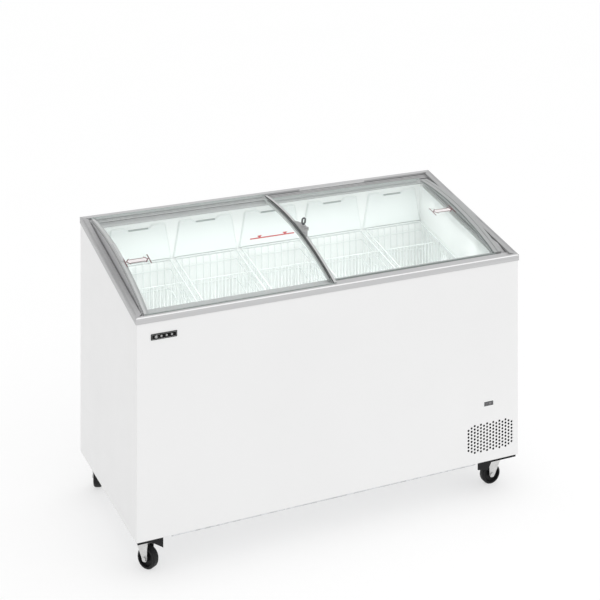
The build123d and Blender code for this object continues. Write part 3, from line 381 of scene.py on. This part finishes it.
def tempered_glass(name, veil, edge):
    """Clear pane: see-through faces that reflect on the outside only, and ground edges."""
    f = Finish(name, edge, 0.22)
    clear = f.add("ShaderNodeBsdfTransparent")
    clear.inputs["Color"].default_value = (*veil, 1.0)
    gloss = f.add("ShaderNodeBsdfGlossy")
    gloss.inputs["Color"].default_value = (0.93, 0.97, 0.96, 1.0)
    f.link(f.spread(f.noise(6.0, 3.0), 0.008, 0.035), gloss.inputs["Roughness"])
    skin = f.add("ShaderNodeFresnel")
    skin.inputs["IOR"].default_value = GLASS_IOR
    geometry = f.add("ShaderNodeNewGeometry")
    outward = f.spread(geometry.outputs["Backfacing"], 1.0, 0.0, 0.0, 1.0)
    face = f.blend(f.maths("MULTIPLY", skin.outputs[0], outward), clear, gloss)
    tilt = f.maths("ABSOLUTE", f.along(UP_SLOPE, "True Normal"))
    pane = f.blend(f.spread(tilt, 1.0, 0.0, 0.55, 0.75), face, f.shader)
    output = next(n for n in f.tree.nodes if n.type == "OUTPUT_MATERIAL")
    f.link(pane.outputs[0], output.inputs["Surface"])
    return f.material


def display_window(name):
    """Smoked window of the temperature display."""
    f = Finish(name, (0.085, 0.085, 0.09), 0.22, coat=0.5)
    f.tint(f.noise(300.0, 2.0), 0.08)
    f.bump(f.noise(700.0, 1.0), 0.02, 0.03 * MM)
    return f.material


def lit_segment(name):
    """A faintly glowing bar of a digit."""
    f = Finish(name, (0.30, 0.30, 0.31), 0.4)
    f.tint(f.noise(900.0, 1.0), 0.05)
    f.set("Emission Color", (0.42, 0.42, 0.44, 1.0))
    f.set("Emission Strength", 0.08)
    return f.material


FINISH = {
    "white_sheet": powder_coat("white_sheet", (0.86, 0.86, 0.86)),
    "galvanised": galvanised("galvanised"),
    "foam": insulation_foam("foam"),
    "liner": stucco_liner("liner"),
    "collar_white": moulded("collar_white", (0.955, 0.975, 0.965), 0.34, coat=0.1),
    "collar_panel": collar_panel("collar_panel", (0.90, 0.935, 0.925)).material,
    "grey_frame": frame_extrusion("grey_frame", (0.56, 0.56, 0.565)).material,
    "grey_frame_side": extrusion("grey_frame_side", (0.45, 0.45, 0.455), axis=1).material,
    "gable_grey": moulded("gable_grey", (0.46, 0.46, 0.465), 0.4),
    "light_grey": extrusion("light_grey", (0.56, 0.57, 0.57), axis=1, metallic=0.2).material,
    "bar_grey": extrusion("bar_grey", (0.42, 0.43, 0.43), axis=1, metallic=0.2).material,
    "glide_grey": moulded("glide_grey", (0.46, 0.48, 0.48), 0.45),
    "lock_grey": moulded("lock_grey", (0.36, 0.365, 0.365), 0.38),
    "clear_glass": tempered_glass("clear_glass", (0.985, 0.994, 0.991), (0.50, 0.56, 0.54)),
    "seal_rubber": soft_rubber("seal_rubber"),
    "zinc": bright_metal("zinc", (0.66, 0.66, 0.655), 0.36),
    "chrome": bright_metal("chrome", (0.82, 0.82, 0.83), 0.1),
    "key_metal": bright_metal("key_metal", (0.16, 0.16, 0.165), 0.3),
    "black_steel": powder_coat("black_steel", (0.008, 0.008, 0.009), 0.45, coat=0.0, specular=0.25),
    "black_plastic": moulded("black_plastic", (0.012, 0.012, 0.013), 0.55),
    "wheel_plastic": wheel_plastic("wheel_plastic"),
    "white_label": printed_film("white_label", (0.90, 0.90, 0.90)),
    "red_label": printed_film("red_label", (0.60, 0.055, 0.06)),
    "sticker_line": printed_film("sticker_line", (0.16, 0.055, 0.06)),
    "sticker_fill": printed_film("sticker_fill", (0.93, 0.88, 0.88)),
    "display": display_window("display"),
    "digit": lit_segment("digit"),
    "badge_face": powder_coat("badge_face", (0.004, 0.004, 0.004), 0.6, coat=0.0, specular=0.15),
    "badge_print": printed_film("badge_print", (0.50, 0.50, 0.50)),
    "copper": copper_tube("copper"),
    "compressor_black": powder_coat("compressor_black", (0.014, 0.014, 0.015), 0.25),
    # the condenser's fins are painted black
    "fin_aluminium": powder_coat("fin_aluminium", (0.014, 0.014, 0.015), 0.5, coat=0.0, specular=0.3),
    "white_wire": coated_wire("white_wire"),
}

OWN_FINISH = {                               # nodes whose finish differs from their record slot's
    "collar_back_panels": "collar_panel",
    "side_rails": "grey_frame_side",
    "side_gables": "gable_grey",
    "left_lid_glides": "glide_grey",
    "right_lid_glides": "glide_grey",
    "right_lid_seal": "glide_grey",
    "right_lid_end_bar": "bar_grey",
    "lock_housing": "lock_grey",
    "lock_key": "key_metal",
    "front_badge": "badge_face",
}


def dress_frame():
    """Give every CAD node its finish."""
    for entry in frame["record"]["subparts"]:
        node = frame["nodes"][entry["node"]]
        material = FINISH[OWN_FINISH.get(entry["node"], entry["material_slot"])]
        if not node.material_slots:
            node.data.materials.append(material)
        for slot in node.material_slots:
            slot.material = material


# ---------------------------------------------------------------- mesh helpers
BEND_STEPS = 3                               # straight pieces in each bend of a wire


def piece(name, bm, finish, body):
    """Turn a bmesh into a finished piece that rides on a body."""
    mesh = bpy.data.meshes.new(name)
    bmesh.ops.recalc_face_normals(bm, faces=bm.faces)
    bm.to_mesh(mesh)
    bm.free()
    made = bpy.data.objects.new(name, mesh)
    bpy.context.scene.collection.objects.link(made)
    mesh.materials.append(FINISH[finish])
    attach(made, body)
    return made


def rounded(points, radius, closed=False):
    """A polyline with short curves in place of its corners."""
    path = []
    count = len(points)
    for i, corner in enumerate(points):
        if not closed and i in (0, count - 1):
            path.append(corner)
            continue
        before, after = points[i - 1] - corner, points[(i + 1) % count] - corner
        reach = min(radius, before.length * 0.45, after.length * 0.45)
        start, end = corner + before.normalized() * reach, corner + after.normalized() * reach
        for step in range(BEND_STEPS + 1):
            t = step / BEND_STEPS
            path.append(start * (1 - t) ** 2 + corner * 2 * t * (1 - t) + end * t * t)
    return path


def wire(bm, path, radius, closed=False, sides=8):
    """Sweep a round section along a path."""
    count = len(path)
    rings = []
    up = None
    for i, point in enumerate(path):
        before = path[i - 1] if closed or i else point
        after = path[(i + 1) % count] if closed or i < count - 1 else point
        tangent = (after - before).normalized()
        if up is None:
            up = tangent.orthogonal().normalized()
        side = tangent.cross(up).normalized()
        up = side.cross(tangent).normalized()
        angles = [2 * pi * n / sides for n in range(sides)]
        rings.append([bm.verts.new(point + radius * (cos(a) * side + sin(a) * up)) for a in angles])
    last = count if closed else count - 1
    for i in range(last):
        ring, following = rings[i], rings[(i + 1) % count]
        shift = 0
        if closed and i == count - 1:
            shift = min(range(sides), key=lambda s: (following[s].co - ring[0].co).length)
        for n in range(sides):
            m = (n + 1) % sides
            face = (ring[n], ring[m], following[(m + shift) % sides], following[(n + shift) % sides])
            bm.faces.new(face).smooth = True
    if not closed:
        bm.faces.new(rings[0][::-1])
        bm.faces.new(rings[-1])


def flat_outline(bm, points, place, thickness):
    """A thin closed slab: an outline in two dimensions, laid on a surface by place(u, v, lift)."""
    low = [bm.verts.new(place(u, v, 0.0)) for u, v in points]
    high = [bm.verts.new(place(u, v, thickness)) for u, v in points]
    bm.faces.new(high)
    bm.faces.new(low[::-1])
    count = len(points)
    for i in range(count):
        j = (i + 1) % count
        bm.faces.new((low[i], low[j], high[j], high[i]))


# ---------------------------------------------------------------- wire baskets
RIM_R = 2.8 * MM
WIRE_R = 1.35 * MM
RING_R = 1.7 * MM
TAPER = 10.0 * MM                            # each wall leans in this much from rim to floor
END_REACH = 10.5 * MM                        # the rim's ends stand this far outside the end walls
CROSS_PITCH = 22.0 * MM
LONG_PITCH = 25.0 * MM
DIVIDER_Y = 95.0 * MM
RINGS = (26.0 * MM, 92.0 * MM)               # lower rings, measured down from the rim
BEND_R = 9.0 * MM                            # inside the bends of the wires
RIM_BEND_R = 10.0 * MM                       # at the rim's corners
DROP_IN = 2.0 * MM                           # the long wires pass the end walls this far below the rim


class Basket:
    """The shape of one wire basket, measured from its CAD solid."""

    def __init__(self, node):
        low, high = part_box(node)
        self.x = (low.x + high.x) / 2
        self.half = (high.x - low.x) / 2 - RIM_R
        self.end = high.y - RIM_R
        self.wall = self.end - END_REACH
        self.floor = low.z + WIRE_R
        self.rim_back = high.z - RIM_R

    def rim(self, y):
        """Height of the rim wire's middle."""
        return self.rim_back + (y - self.end) * tan(SLOPE)

    def ring(self, drop):
        """Closed loop parallel to the rim, on the leaning walls."""
        corners = []
        for sx, sy in ((-1, -1), (1, -1), (1, 1), (-1, 1)):
            y = sy * self.wall
            lean = TAPER * drop / (self.rim(y) - self.floor)
            x = self.x + sx * (self.half - lean)
            corners.append(Vector((x, sy * (self.wall - lean), self.rim(y) - drop)))
        return rounded(corners, BEND_R, closed=True)

    def rim_loop(self):
        """The rim itself, which reaches out past the end walls."""
        corners = [
            Vector((self.x + sx * self.half, sy * self.end, self.rim(sy * self.end)))
            for sx, sy in ((-1, -1), (1, -1), (1, 1), (-1, 1))]
        return rounded(corners, RIM_BEND_R, closed=True)


def spaced(low, high, pitch):
    """Even steps from low to high, near a pitch, without the ends."""
    count = max(2, round((high - low) / pitch))
    return [low + (high - low) * (n + 0.5) / count for n in range(count)]


def basket_wires(number):
    """Rim, lower rings and U-shaped wires both ways."""
    shape = Basket(f"basket_{number}")
    bm = bmesh.new()
    wire(bm, shape.rim_loop(), RIM_R, closed=True, sides=10)
    for drop in RINGS:
        wire(bm, shape.ring(drop), RING_R, closed=True)
    inner = WIRE_R + RING_R * 0.4
    for y in spaced(-shape.wall + TAPER, shape.wall - TAPER, CROSS_PITCH):
        top, foot = shape.half - RIM_R * 0.3, shape.half - TAPER - inner
        points = [(-top, shape.rim(y)), (-foot, shape.floor), (foot, shape.floor), (top, shape.rim(y))]
        path = [Vector((shape.x + x, y, z)) for x, z in points]
        wire(bm, rounded(path, BEND_R), WIRE_R)
    for x in spaced(-shape.half + TAPER, shape.half - TAPER, LONG_PITCH):
        floor = shape.floor + 2 * WIRE_R * 0.9
        foot = shape.wall - TAPER - inner
        front = [(-shape.end, shape.rim(-shape.end)), (-shape.wall, shape.rim(-shape.wall) - DROP_IN)]
        back = [(shape.wall, shape.rim(shape.wall) - DROP_IN), (shape.end, shape.rim(shape.end))]
        path = [Vector((shape.x + x, y, z)) for y, z in (*front, (-foot, floor), (foot, floor), *back)]
        wire(bm, rounded(path, BEND_R), WIRE_R)
    made = piece(f"basket_{number}_wires", bm, "white_wire", f"basket_{number}")
    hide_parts(f"basket_{number}")
    return shape


def basket_divider(number, shape):
    """Wire divider that hooks over the two long sides of the rim."""
    bm = bmesh.new()
    top = shape.rim(DIVIDER_Y) + RIM_R + RING_R * 0.8
    foot = shape.floor + 4 * WIRE_R
    reach = shape.half - 1.0 * MM
    inner = shape.half - TAPER - 6 * MM
    hook = 7 * MM
    rail = [(-reach, top - hook), (-reach, top), (reach, top), (reach, top - hook)]
    wire(bm, rounded([Vector((shape.x + x, DIVIDER_Y, z)) for x, z in rail], 4 * MM), RING_R)
    sides = [(-inner - TAPER * 0.6, top), (-inner, foot), (inner, foot), (inner + TAPER * 0.6, top)]
    wire(bm, rounded([Vector((shape.x + x, DIVIDER_Y, z)) for x, z in sides], 6 * MM), RING_R)
    for x in spaced(-inner, inner, LONG_PITCH / 2):
        ends = [Vector((shape.x + x, DIVIDER_Y, top)), Vector((shape.x + x * 0.97, DIVIDER_Y, foot))]
        wire(bm, ends, WIRE_R)
    piece(f"basket_{number}_divider", bm, "white_wire", f"basket_{number}")


# ---------------------------------------------------------------- stickers on the lids
STICKER_L = 80.0 * MM
STICKER_W = 54.0 * MM
STICKER_LINE = 3.0 * MM
HEAD_L = 13.0 * MM
HEAD_W = 36.0 * MM
SHAFT_W = 22.0 * MM
FILM = 0.25 * MM
FINE = 6.0 * MM                              # longest step of an outline that follows the curved glass
POINT_HALF = 0.3 * MM                        # half width at which the film's points end
STICKER_AT = {"left": (-0.5695, -0.068), "right": (0.526, -0.022)}


class PaneTop:
    """The upper surface of a pane, found by looking straight down on its CAD mesh."""

    def __init__(self, node):
        mesh = frame["nodes"][node].data
        self.tree = BVHTree.FromPolygons([v.co for v in mesh.vertices], [p.vertices for p in mesh.polygons])
        self.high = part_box(node)[1].z + 0.1

    def point(self, x, y, lift):
        hit, normal, _, _ = self.tree.ray_cast(Vector((x, y, self.high)), Vector((0, 0, -1)))
        if normal.z < 0:
            normal = -normal
        return hit + normal * lift


def arrow_half(inset):
    """Upper half of the double arrow's outline, drawn in by an inset, left to right."""
    tip = STICKER_L / 2 - STICKER_LINE - inset * 1.6
    neck = STICKER_L / 2 - STICKER_LINE - HEAD_L - inset * 0.35
    head, shaft = HEAD_W / 2 - inset * 1.5, SHAFT_W / 2 - inset
    return [(-tip, 0.0), (-neck, head), (-neck, shaft), (neck, shaft), (neck, head), (tip, 0.0)]


def arrow_loop(inset):
    """The double arrow's whole outline, closed."""
    half = arrow_half(inset)
    return half + [(u, -v) for u, v in half[-2:0:-1]]


def between(first, second, share):
    """A point part of the way from one point to another."""
    return tuple(a + (b - a) * share for a, b in zip(first, second))


def finely(outline, partner=None):
    """A closed outline with extra points; a partner outline gets as many."""
    fine, fine_partner = [], []
    for i, start in enumerate(outline):
        j = (i + 1) % len(outline)
        steps = max(1, round(max(abs(b - a) for a, b in zip(start, outline[j])) / FINE))
        fine += [between(start, outline[j], n / steps) for n in range(steps)]
        if partner:
            fine_partner += [between(partner[i], partner[j], n / steps) for n in range(steps)]
    return (fine, fine_partner) if partner else fine


def slide_sticker(side, x, y):
    """Printed double arrow between two end bars, on one pane."""
    top = PaneTop(f"{side}_lid_glass")

    def place(u, v, lift):
        return top.point(x + u, y + v * cos(SLOPE), FILM * 0.4 + lift)

    bm = bmesh.new()
    outer, inner = finely(arrow_loop(0.0), arrow_loop(STICKER_LINE))
    low_out, low_in, high_out, high_in = [
        [bm.verts.new(place(u, v, lift)) for u, v in loop]
        for lift in (0.0, FILM) for loop in (outer, inner)]
    for i in range(len(outer)):
        j = (i + 1) % len(outer)
        bm.faces.new((high_out[i], high_out[j], high_in[j], high_in[i]))
        bm.faces.new((low_out[j], low_out[i], low_in[i], low_in[j]))
        bm.faces.new((low_out[i], low_out[j], high_out[j], high_out[i]))
        bm.faces.new((low_in[j], low_in[i], high_in[i], high_in[j]))
    for end in (-1, 1):
        u0, u1 = sorted((end * STICKER_L / 2, end * (STICKER_L / 2 - STICKER_LINE * 1.1)))
        half = STICKER_W / 2
        flat_outline(bm, finely([(u0, -half), (u1, -half), (u1, half), (u0, half)]), place, FILM)
    piece(f"{side}_lid_arrow_print", bm, "sticker_line", f"{side}_lid")
    return place


def sticker_fill(side, place):
    """Pale film inside the arrow's outline, in cross strips that follow the curved glass."""
    bm = bmesh.new()
    half = arrow_half(STICKER_LINE * 0.9)
    columns = []
    for (u0, v0), (u1, v1) in zip(half[:-1], half[1:]):
        if abs(u1 - u0) < 1e-9:
            columns.append((u1, v1))
            continue
        steps = max(2, round(abs(u1 - u0) / FINE))
        columns += [(u0 + (u1 - u0) * s / steps, v0 + (v1 - v0) * s / steps) for s in range(steps)]
    columns.append(half[-1])
    columns = [(u, max(v, POINT_HALF)) for u, v in columns]
    rows = [[bm.verts.new(place(u, v * k, lift)) for k in (-1.0, 0.0, 1.0)]
            for lift in (0.0, FILM * 0.6) for u, v in columns]
    count = len(columns)
    low, high = rows[:count], rows[count:]
    for i in range(count - 1):
        for k in range(2):
            bm.faces.new((high[i][k], high[i + 1][k], high[i + 1][k + 1], high[i][k + 1]))
            bm.faces.new((low[i + 1][k], low[i][k], low[i][k + 1], low[i + 1][k + 1]))
        for k in (0, 2):
            bm.faces.new((low[i][k], low[i + 1][k], high[i + 1][k], high[i][k]))
    for i in (0, count - 1):
        for k in range(2):
            bm.faces.new((low[i][k], low[i][k + 1], high[i][k + 1], high[i][k]))
    piece(f"{side}_lid_arrow_film", bm, "sticker_fill", f"{side}_lid")


# ---------------------------------------------------------------- badge and display
INK = 0.15 * MM                              # thickness of the print on the badge
KEYLINE = 0.5 * MM
MARGIN_U, MARGIN_V = 2.6 * MM, 2.4 * MM      # from the badge's edges in to the keyline
STAR_PITCH = 16.0 * MM
STAR_RADII = (5.0 * MM, 3.6 * MM, 3.6 * MM, 3.6 * MM)
ARM_SHARE = 0.17                             # half width of a star's arm, as a share of its length
DIGIT_PITCH = 6.5 * MM
DIGIT_HEIGHT = 7.5 * MM
DIGIT_INK = 0.08 * MM
SEGMENTS = {"-": "g", "1": "bc", "8": "abcdefg"}     # lit bars of each seven-segment sign


def on_front(node, lift):
    """Placement on the flat front face of a node: u to the right and v up from its middle."""
    low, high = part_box(node)
    x, z, y = (low.x + high.x) / 2, (low.z + high.z) / 2, low.y

    def place(u, v, height):
        return Vector((x + u, y - lift - height, z + v))

    return place


def frost_star(bm, place, u, v, radius):
    """Six-armed star of three crossed bars, the usual frozen-storage mark."""
    for arm in range(3):
        a = radians(90 + 60 * arm)
        along, across = Vector((cos(a), sin(a))) * radius, Vector((-sin(a), cos(a))) * radius * ARM_SHARE
        corners = (along + across, -along + across, -along - across, along - across)
        lift = 0.02 * MM * arm               # no two arms share a plane
        outline = [(u + c.x, v + c.y) for c in corners]
        flat_outline(bm, outline, lambda p, q, h: place(p, q, h + lift), INK)


def badge_print():
    """A keyline and a plain frozen-storage star rating, in place of any name."""
    low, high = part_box("front_badge")
    place = on_front("front_badge", 0.0)
    half_w, half_h = (high.x - low.x) / 2 - MARGIN_U, (high.z - low.z) / 2 - MARGIN_V
    bm = bmesh.new()
    for u0, u1, v0, v1 in (
            (-half_w, half_w, half_h - KEYLINE, half_h), (-half_w, half_w, -half_h, -half_h + KEYLINE),
            (-half_w, -half_w + KEYLINE, -half_h + KEYLINE, half_h - KEYLINE),
            (half_w - KEYLINE, half_w, -half_h + KEYLINE, half_h - KEYLINE)):
        flat_outline(bm, [(u0, v0), (u1, v0), (u1, v1), (u0, v1)], place, INK)
    for n, radius in enumerate(STAR_RADII):
        frost_star(bm, place, (n - 1.5) * STAR_PITCH, 0.0, radius)
    piece("front_badge_print", bm, "badge_print", "cabinet")


def seven_segment(bm, place, u, v, text_height, lit):
    """The lit bars of one digit, as pointed bars."""
    h, w, t = text_height / 2, text_height * 0.27, text_height * 0.11
    ends = {"a": ((-w, h), (w, h)), "g": ((-w, 0), (w, 0)), "d": ((-w, -h), (w, -h)), "b": ((w, h), (w, 0)),
            "c": ((w, 0), (w, -h)), "f": ((-w, h), (-w, 0)), "e": ((-w, 0), (-w, -h))}
    for name in lit:
        (u0, v0), (u1, v1) = ends[name]
        a, b = Vector((u0, v0)), Vector((u1, v1))
        along = (b - a).normalized()
        across = Vector((-along.y, along.x)) * t / 2
        a, b = a + along * t * 0.25, b - along * t * 0.25
        bar = (a, a + along * t / 2 - across, b - along * t / 2 - across, b, b - along * t / 2 + across,
               a + along * t / 2 + across)
        flat_outline(bm, [(u + p.x, v + p.y) for p in bar], place, DIGIT_INK)


def display_digits():
    """A set temperature in seven-segment digits."""
    place = on_front("thermometer_display", 0.0)
    bm = bmesh.new()
    for n, sign in enumerate("-18"):
        seven_segment(bm, place, (n - 1) * DIGIT_PITCH, 0.0, DIGIT_HEIGHT, SEGMENTS[sign])
    piece("thermometer_digits", bm, "digit", "cabinet")


# ---------------------------------------------------------------- stage, light and camera
CAMERA_AT = (-1.89808, -4.71513, 2.43792)
CAMERA_TURN = radians(26.351)                # the camera is level, turned to the right
CAMERA_LENS = 91.44
SENSOR = 36.0
SHIFT = {"shift_x": -0.1947, "shift_y": -0.9098}
SKY_TOWARD = (0.60, -0.45, 0.66)             # the world's light is strongest from here
SKY_LOW, SKY_HIGH = 0.58, 1.06
BACKDROP = 1.05                              # how bright the background looks to the camera
LAMP_POWER = {"key_box": 4.0, "top_box": 2.0, "well_fill": 0.78, "wall_fill": 0.35, "tank_fill": 0.40}
WELL_Z = 0.80                                # height of the lamp that fills the well
FILL_SHARE = 0.88                            # the fill lamps' length, as a share of the freezer's
FLOOR_TONE = 0.45
FLOOR_GLOW = 0.58


def level_camera():
    """A level camera with a lens shift, which drops to zero when the camera is moved elsewhere."""
    data = bpy.data.cameras.new("camera")
    data.lens, data.sensor_width = CAMERA_LENS, SENSOR
    data.clip_end = 60.0
    camera = bpy.data.objects.new("camera", data)
    camera.location = CAMERA_AT
    camera.rotation_euler = (radians(90.0), 0.0, -CAMERA_TURN)
    bpy.context.scene.collection.objects.link(camera)
    for socket, shift in SHIFT.items():
        driver = data.driver_add(socket).driver
        driver.type = "SCRIPTED"
        place = driver.variables.new()
        place.name, place.type = "x", "TRANSFORMS"
        place.targets[0].id = camera
        place.targets[0].transform_type = "LOC_X"
        place.targets[0].transform_space = "WORLD_SPACE"
        driver.expression = f"{shift} if abs(x - ({CAMERA_AT[0]})) < 0.001 else 0.0"
    bpy.context.scene.camera = camera


def studio_world():
    """White studio: plain white for the camera, and soft light that is strongest from one side."""
    world = bpy.data.worlds.new("studio")
    world.use_nodes = True
    bpy.context.scene.world = world
    tree = world.node_tree
    lit = tree.nodes["Background"]
    coords = tree.nodes.new("ShaderNodeTexCoord")
    toward = tree.nodes.new("ShaderNodeVectorMath")
    toward.operation = "DOT_PRODUCT"
    toward.inputs[1].default_value = Vector(SKY_TOWARD).normalized()
    tree.links.new(coords.outputs["Generated"], toward.inputs[0])
    level = tree.nodes.new("ShaderNodeMapRange")
    for name, value in {"From Min": -1.0, "From Max": 1.0, "To Min": SKY_LOW, "To Max": SKY_HIGH}.items():
        level.inputs[name].default_value = value
    tree.links.new(toward.outputs["Value"], level.inputs["Value"])
    tree.links.new(level.outputs["Result"], lit.inputs["Strength"])
    white = tree.nodes.new("ShaderNodeBackground")
    white.inputs["Strength"].default_value = BACKDROP
    white.inputs["Color"].default_value = (1.0, 1.0, 1.0, 1.0)
    lit.inputs["Color"].default_value = (1.0, 1.0, 1.0, 1.0)
    path = tree.nodes.new("ShaderNodeLightPath")
    choose = tree.nodes.new("ShaderNodeMixShader")
    tree.links.new(path.outputs["Is Camera Ray"], choose.inputs[0])
    tree.links.new(lit.outputs[0], choose.inputs[1])
    tree.links.new(white.outputs[0], choose.inputs[2])
    output = next(n for n in tree.nodes if n.type == "OUTPUT_WORLD")
    tree.links.new(choose.outputs[0], output.inputs["Surface"])


def soft_box(name, at, aim, size, shown=True):
    """A rectangular lamp aimed at a point."""
    data = bpy.data.lights.new(name, "AREA")
    data.shape = "RECTANGLE"
    data.size, data.size_y = size
    data.energy = LAMP_POWER[name]
    lamp = bpy.data.objects.new(name, data)
    lamp.location = at
    lamp.rotation_euler = (Vector(aim) - Vector(at)).to_track_quat("-Z", "Y").to_euler()
    lamp.visible_camera = False
    lamp.visible_glossy = shown
    bpy.context.scene.collection.objects.link(lamp)


def lights():
    """Two soft boxes outside, and three lamps that fill the shade inside the well."""
    middle = (cad_low + cad_high) / 2
    long = (cad_high.x - cad_low.x) * FILL_SHARE
    soft_box("key_box", (1.6, -3.2, 3.2), middle, (2.4, 2.0))
    soft_box("top_box", (0.0, 0.3, 2.9), (0.0, 0.0, cad_high.z), (2.6, 1.6))
    well = Vector((middle.x, middle.y, WELL_Z))
    soft_box("well_fill", well, well - UP_SLOPE, (long, 0.44), shown=False)
    soft_box("wall_fill", (0.0, -0.16, 0.70), (0.0, 0.27, 0.77), (long, 0.12), shown=False)
    soft_box("tank_fill", (0.0, 0.05, 0.60), (0.0, 0.27, 0.64), (long, 0.12), shown=False)


def floor():
    """Plain pale floor, bright enough to melt into the white behind it."""
    bm = bmesh.new()
    bmesh.ops.create_grid(bm, x_segments=8, y_segments=8, size=30.0)
    mesh = bpy.data.meshes.new("floor")
    bm.to_mesh(mesh)
    bm.free()
    made = bpy.data.objects.new("floor", mesh)
    bpy.context.scene.collection.objects.link(made)
    f = Finish("floor_paint", (FLOOR_TONE,) * 3, 0.9, specular=0.0)
    f.tint(f.noise(1.5, 2.0), 0.004)
    f.set("Emission Color", (1.0, 1.0, 1.0, 1.0))
    f.set("Emission Strength", FLOOR_GLOW)
    mesh.materials.append(f.material)


# ---------------------------------------------------------------- build
dress_frame()
for number in range(1, BASKETS + 1):
    basket_divider(number, basket_wires(number))
for side, (x, y) in STICKER_AT.items():
    sticker_fill(side, slide_sticker(side, x, y))
badge_print()
display_digits()
floor()
studio_world()
lights()
level_camera()
bpy.context.scene.view_settings.view_transform = "Standard"
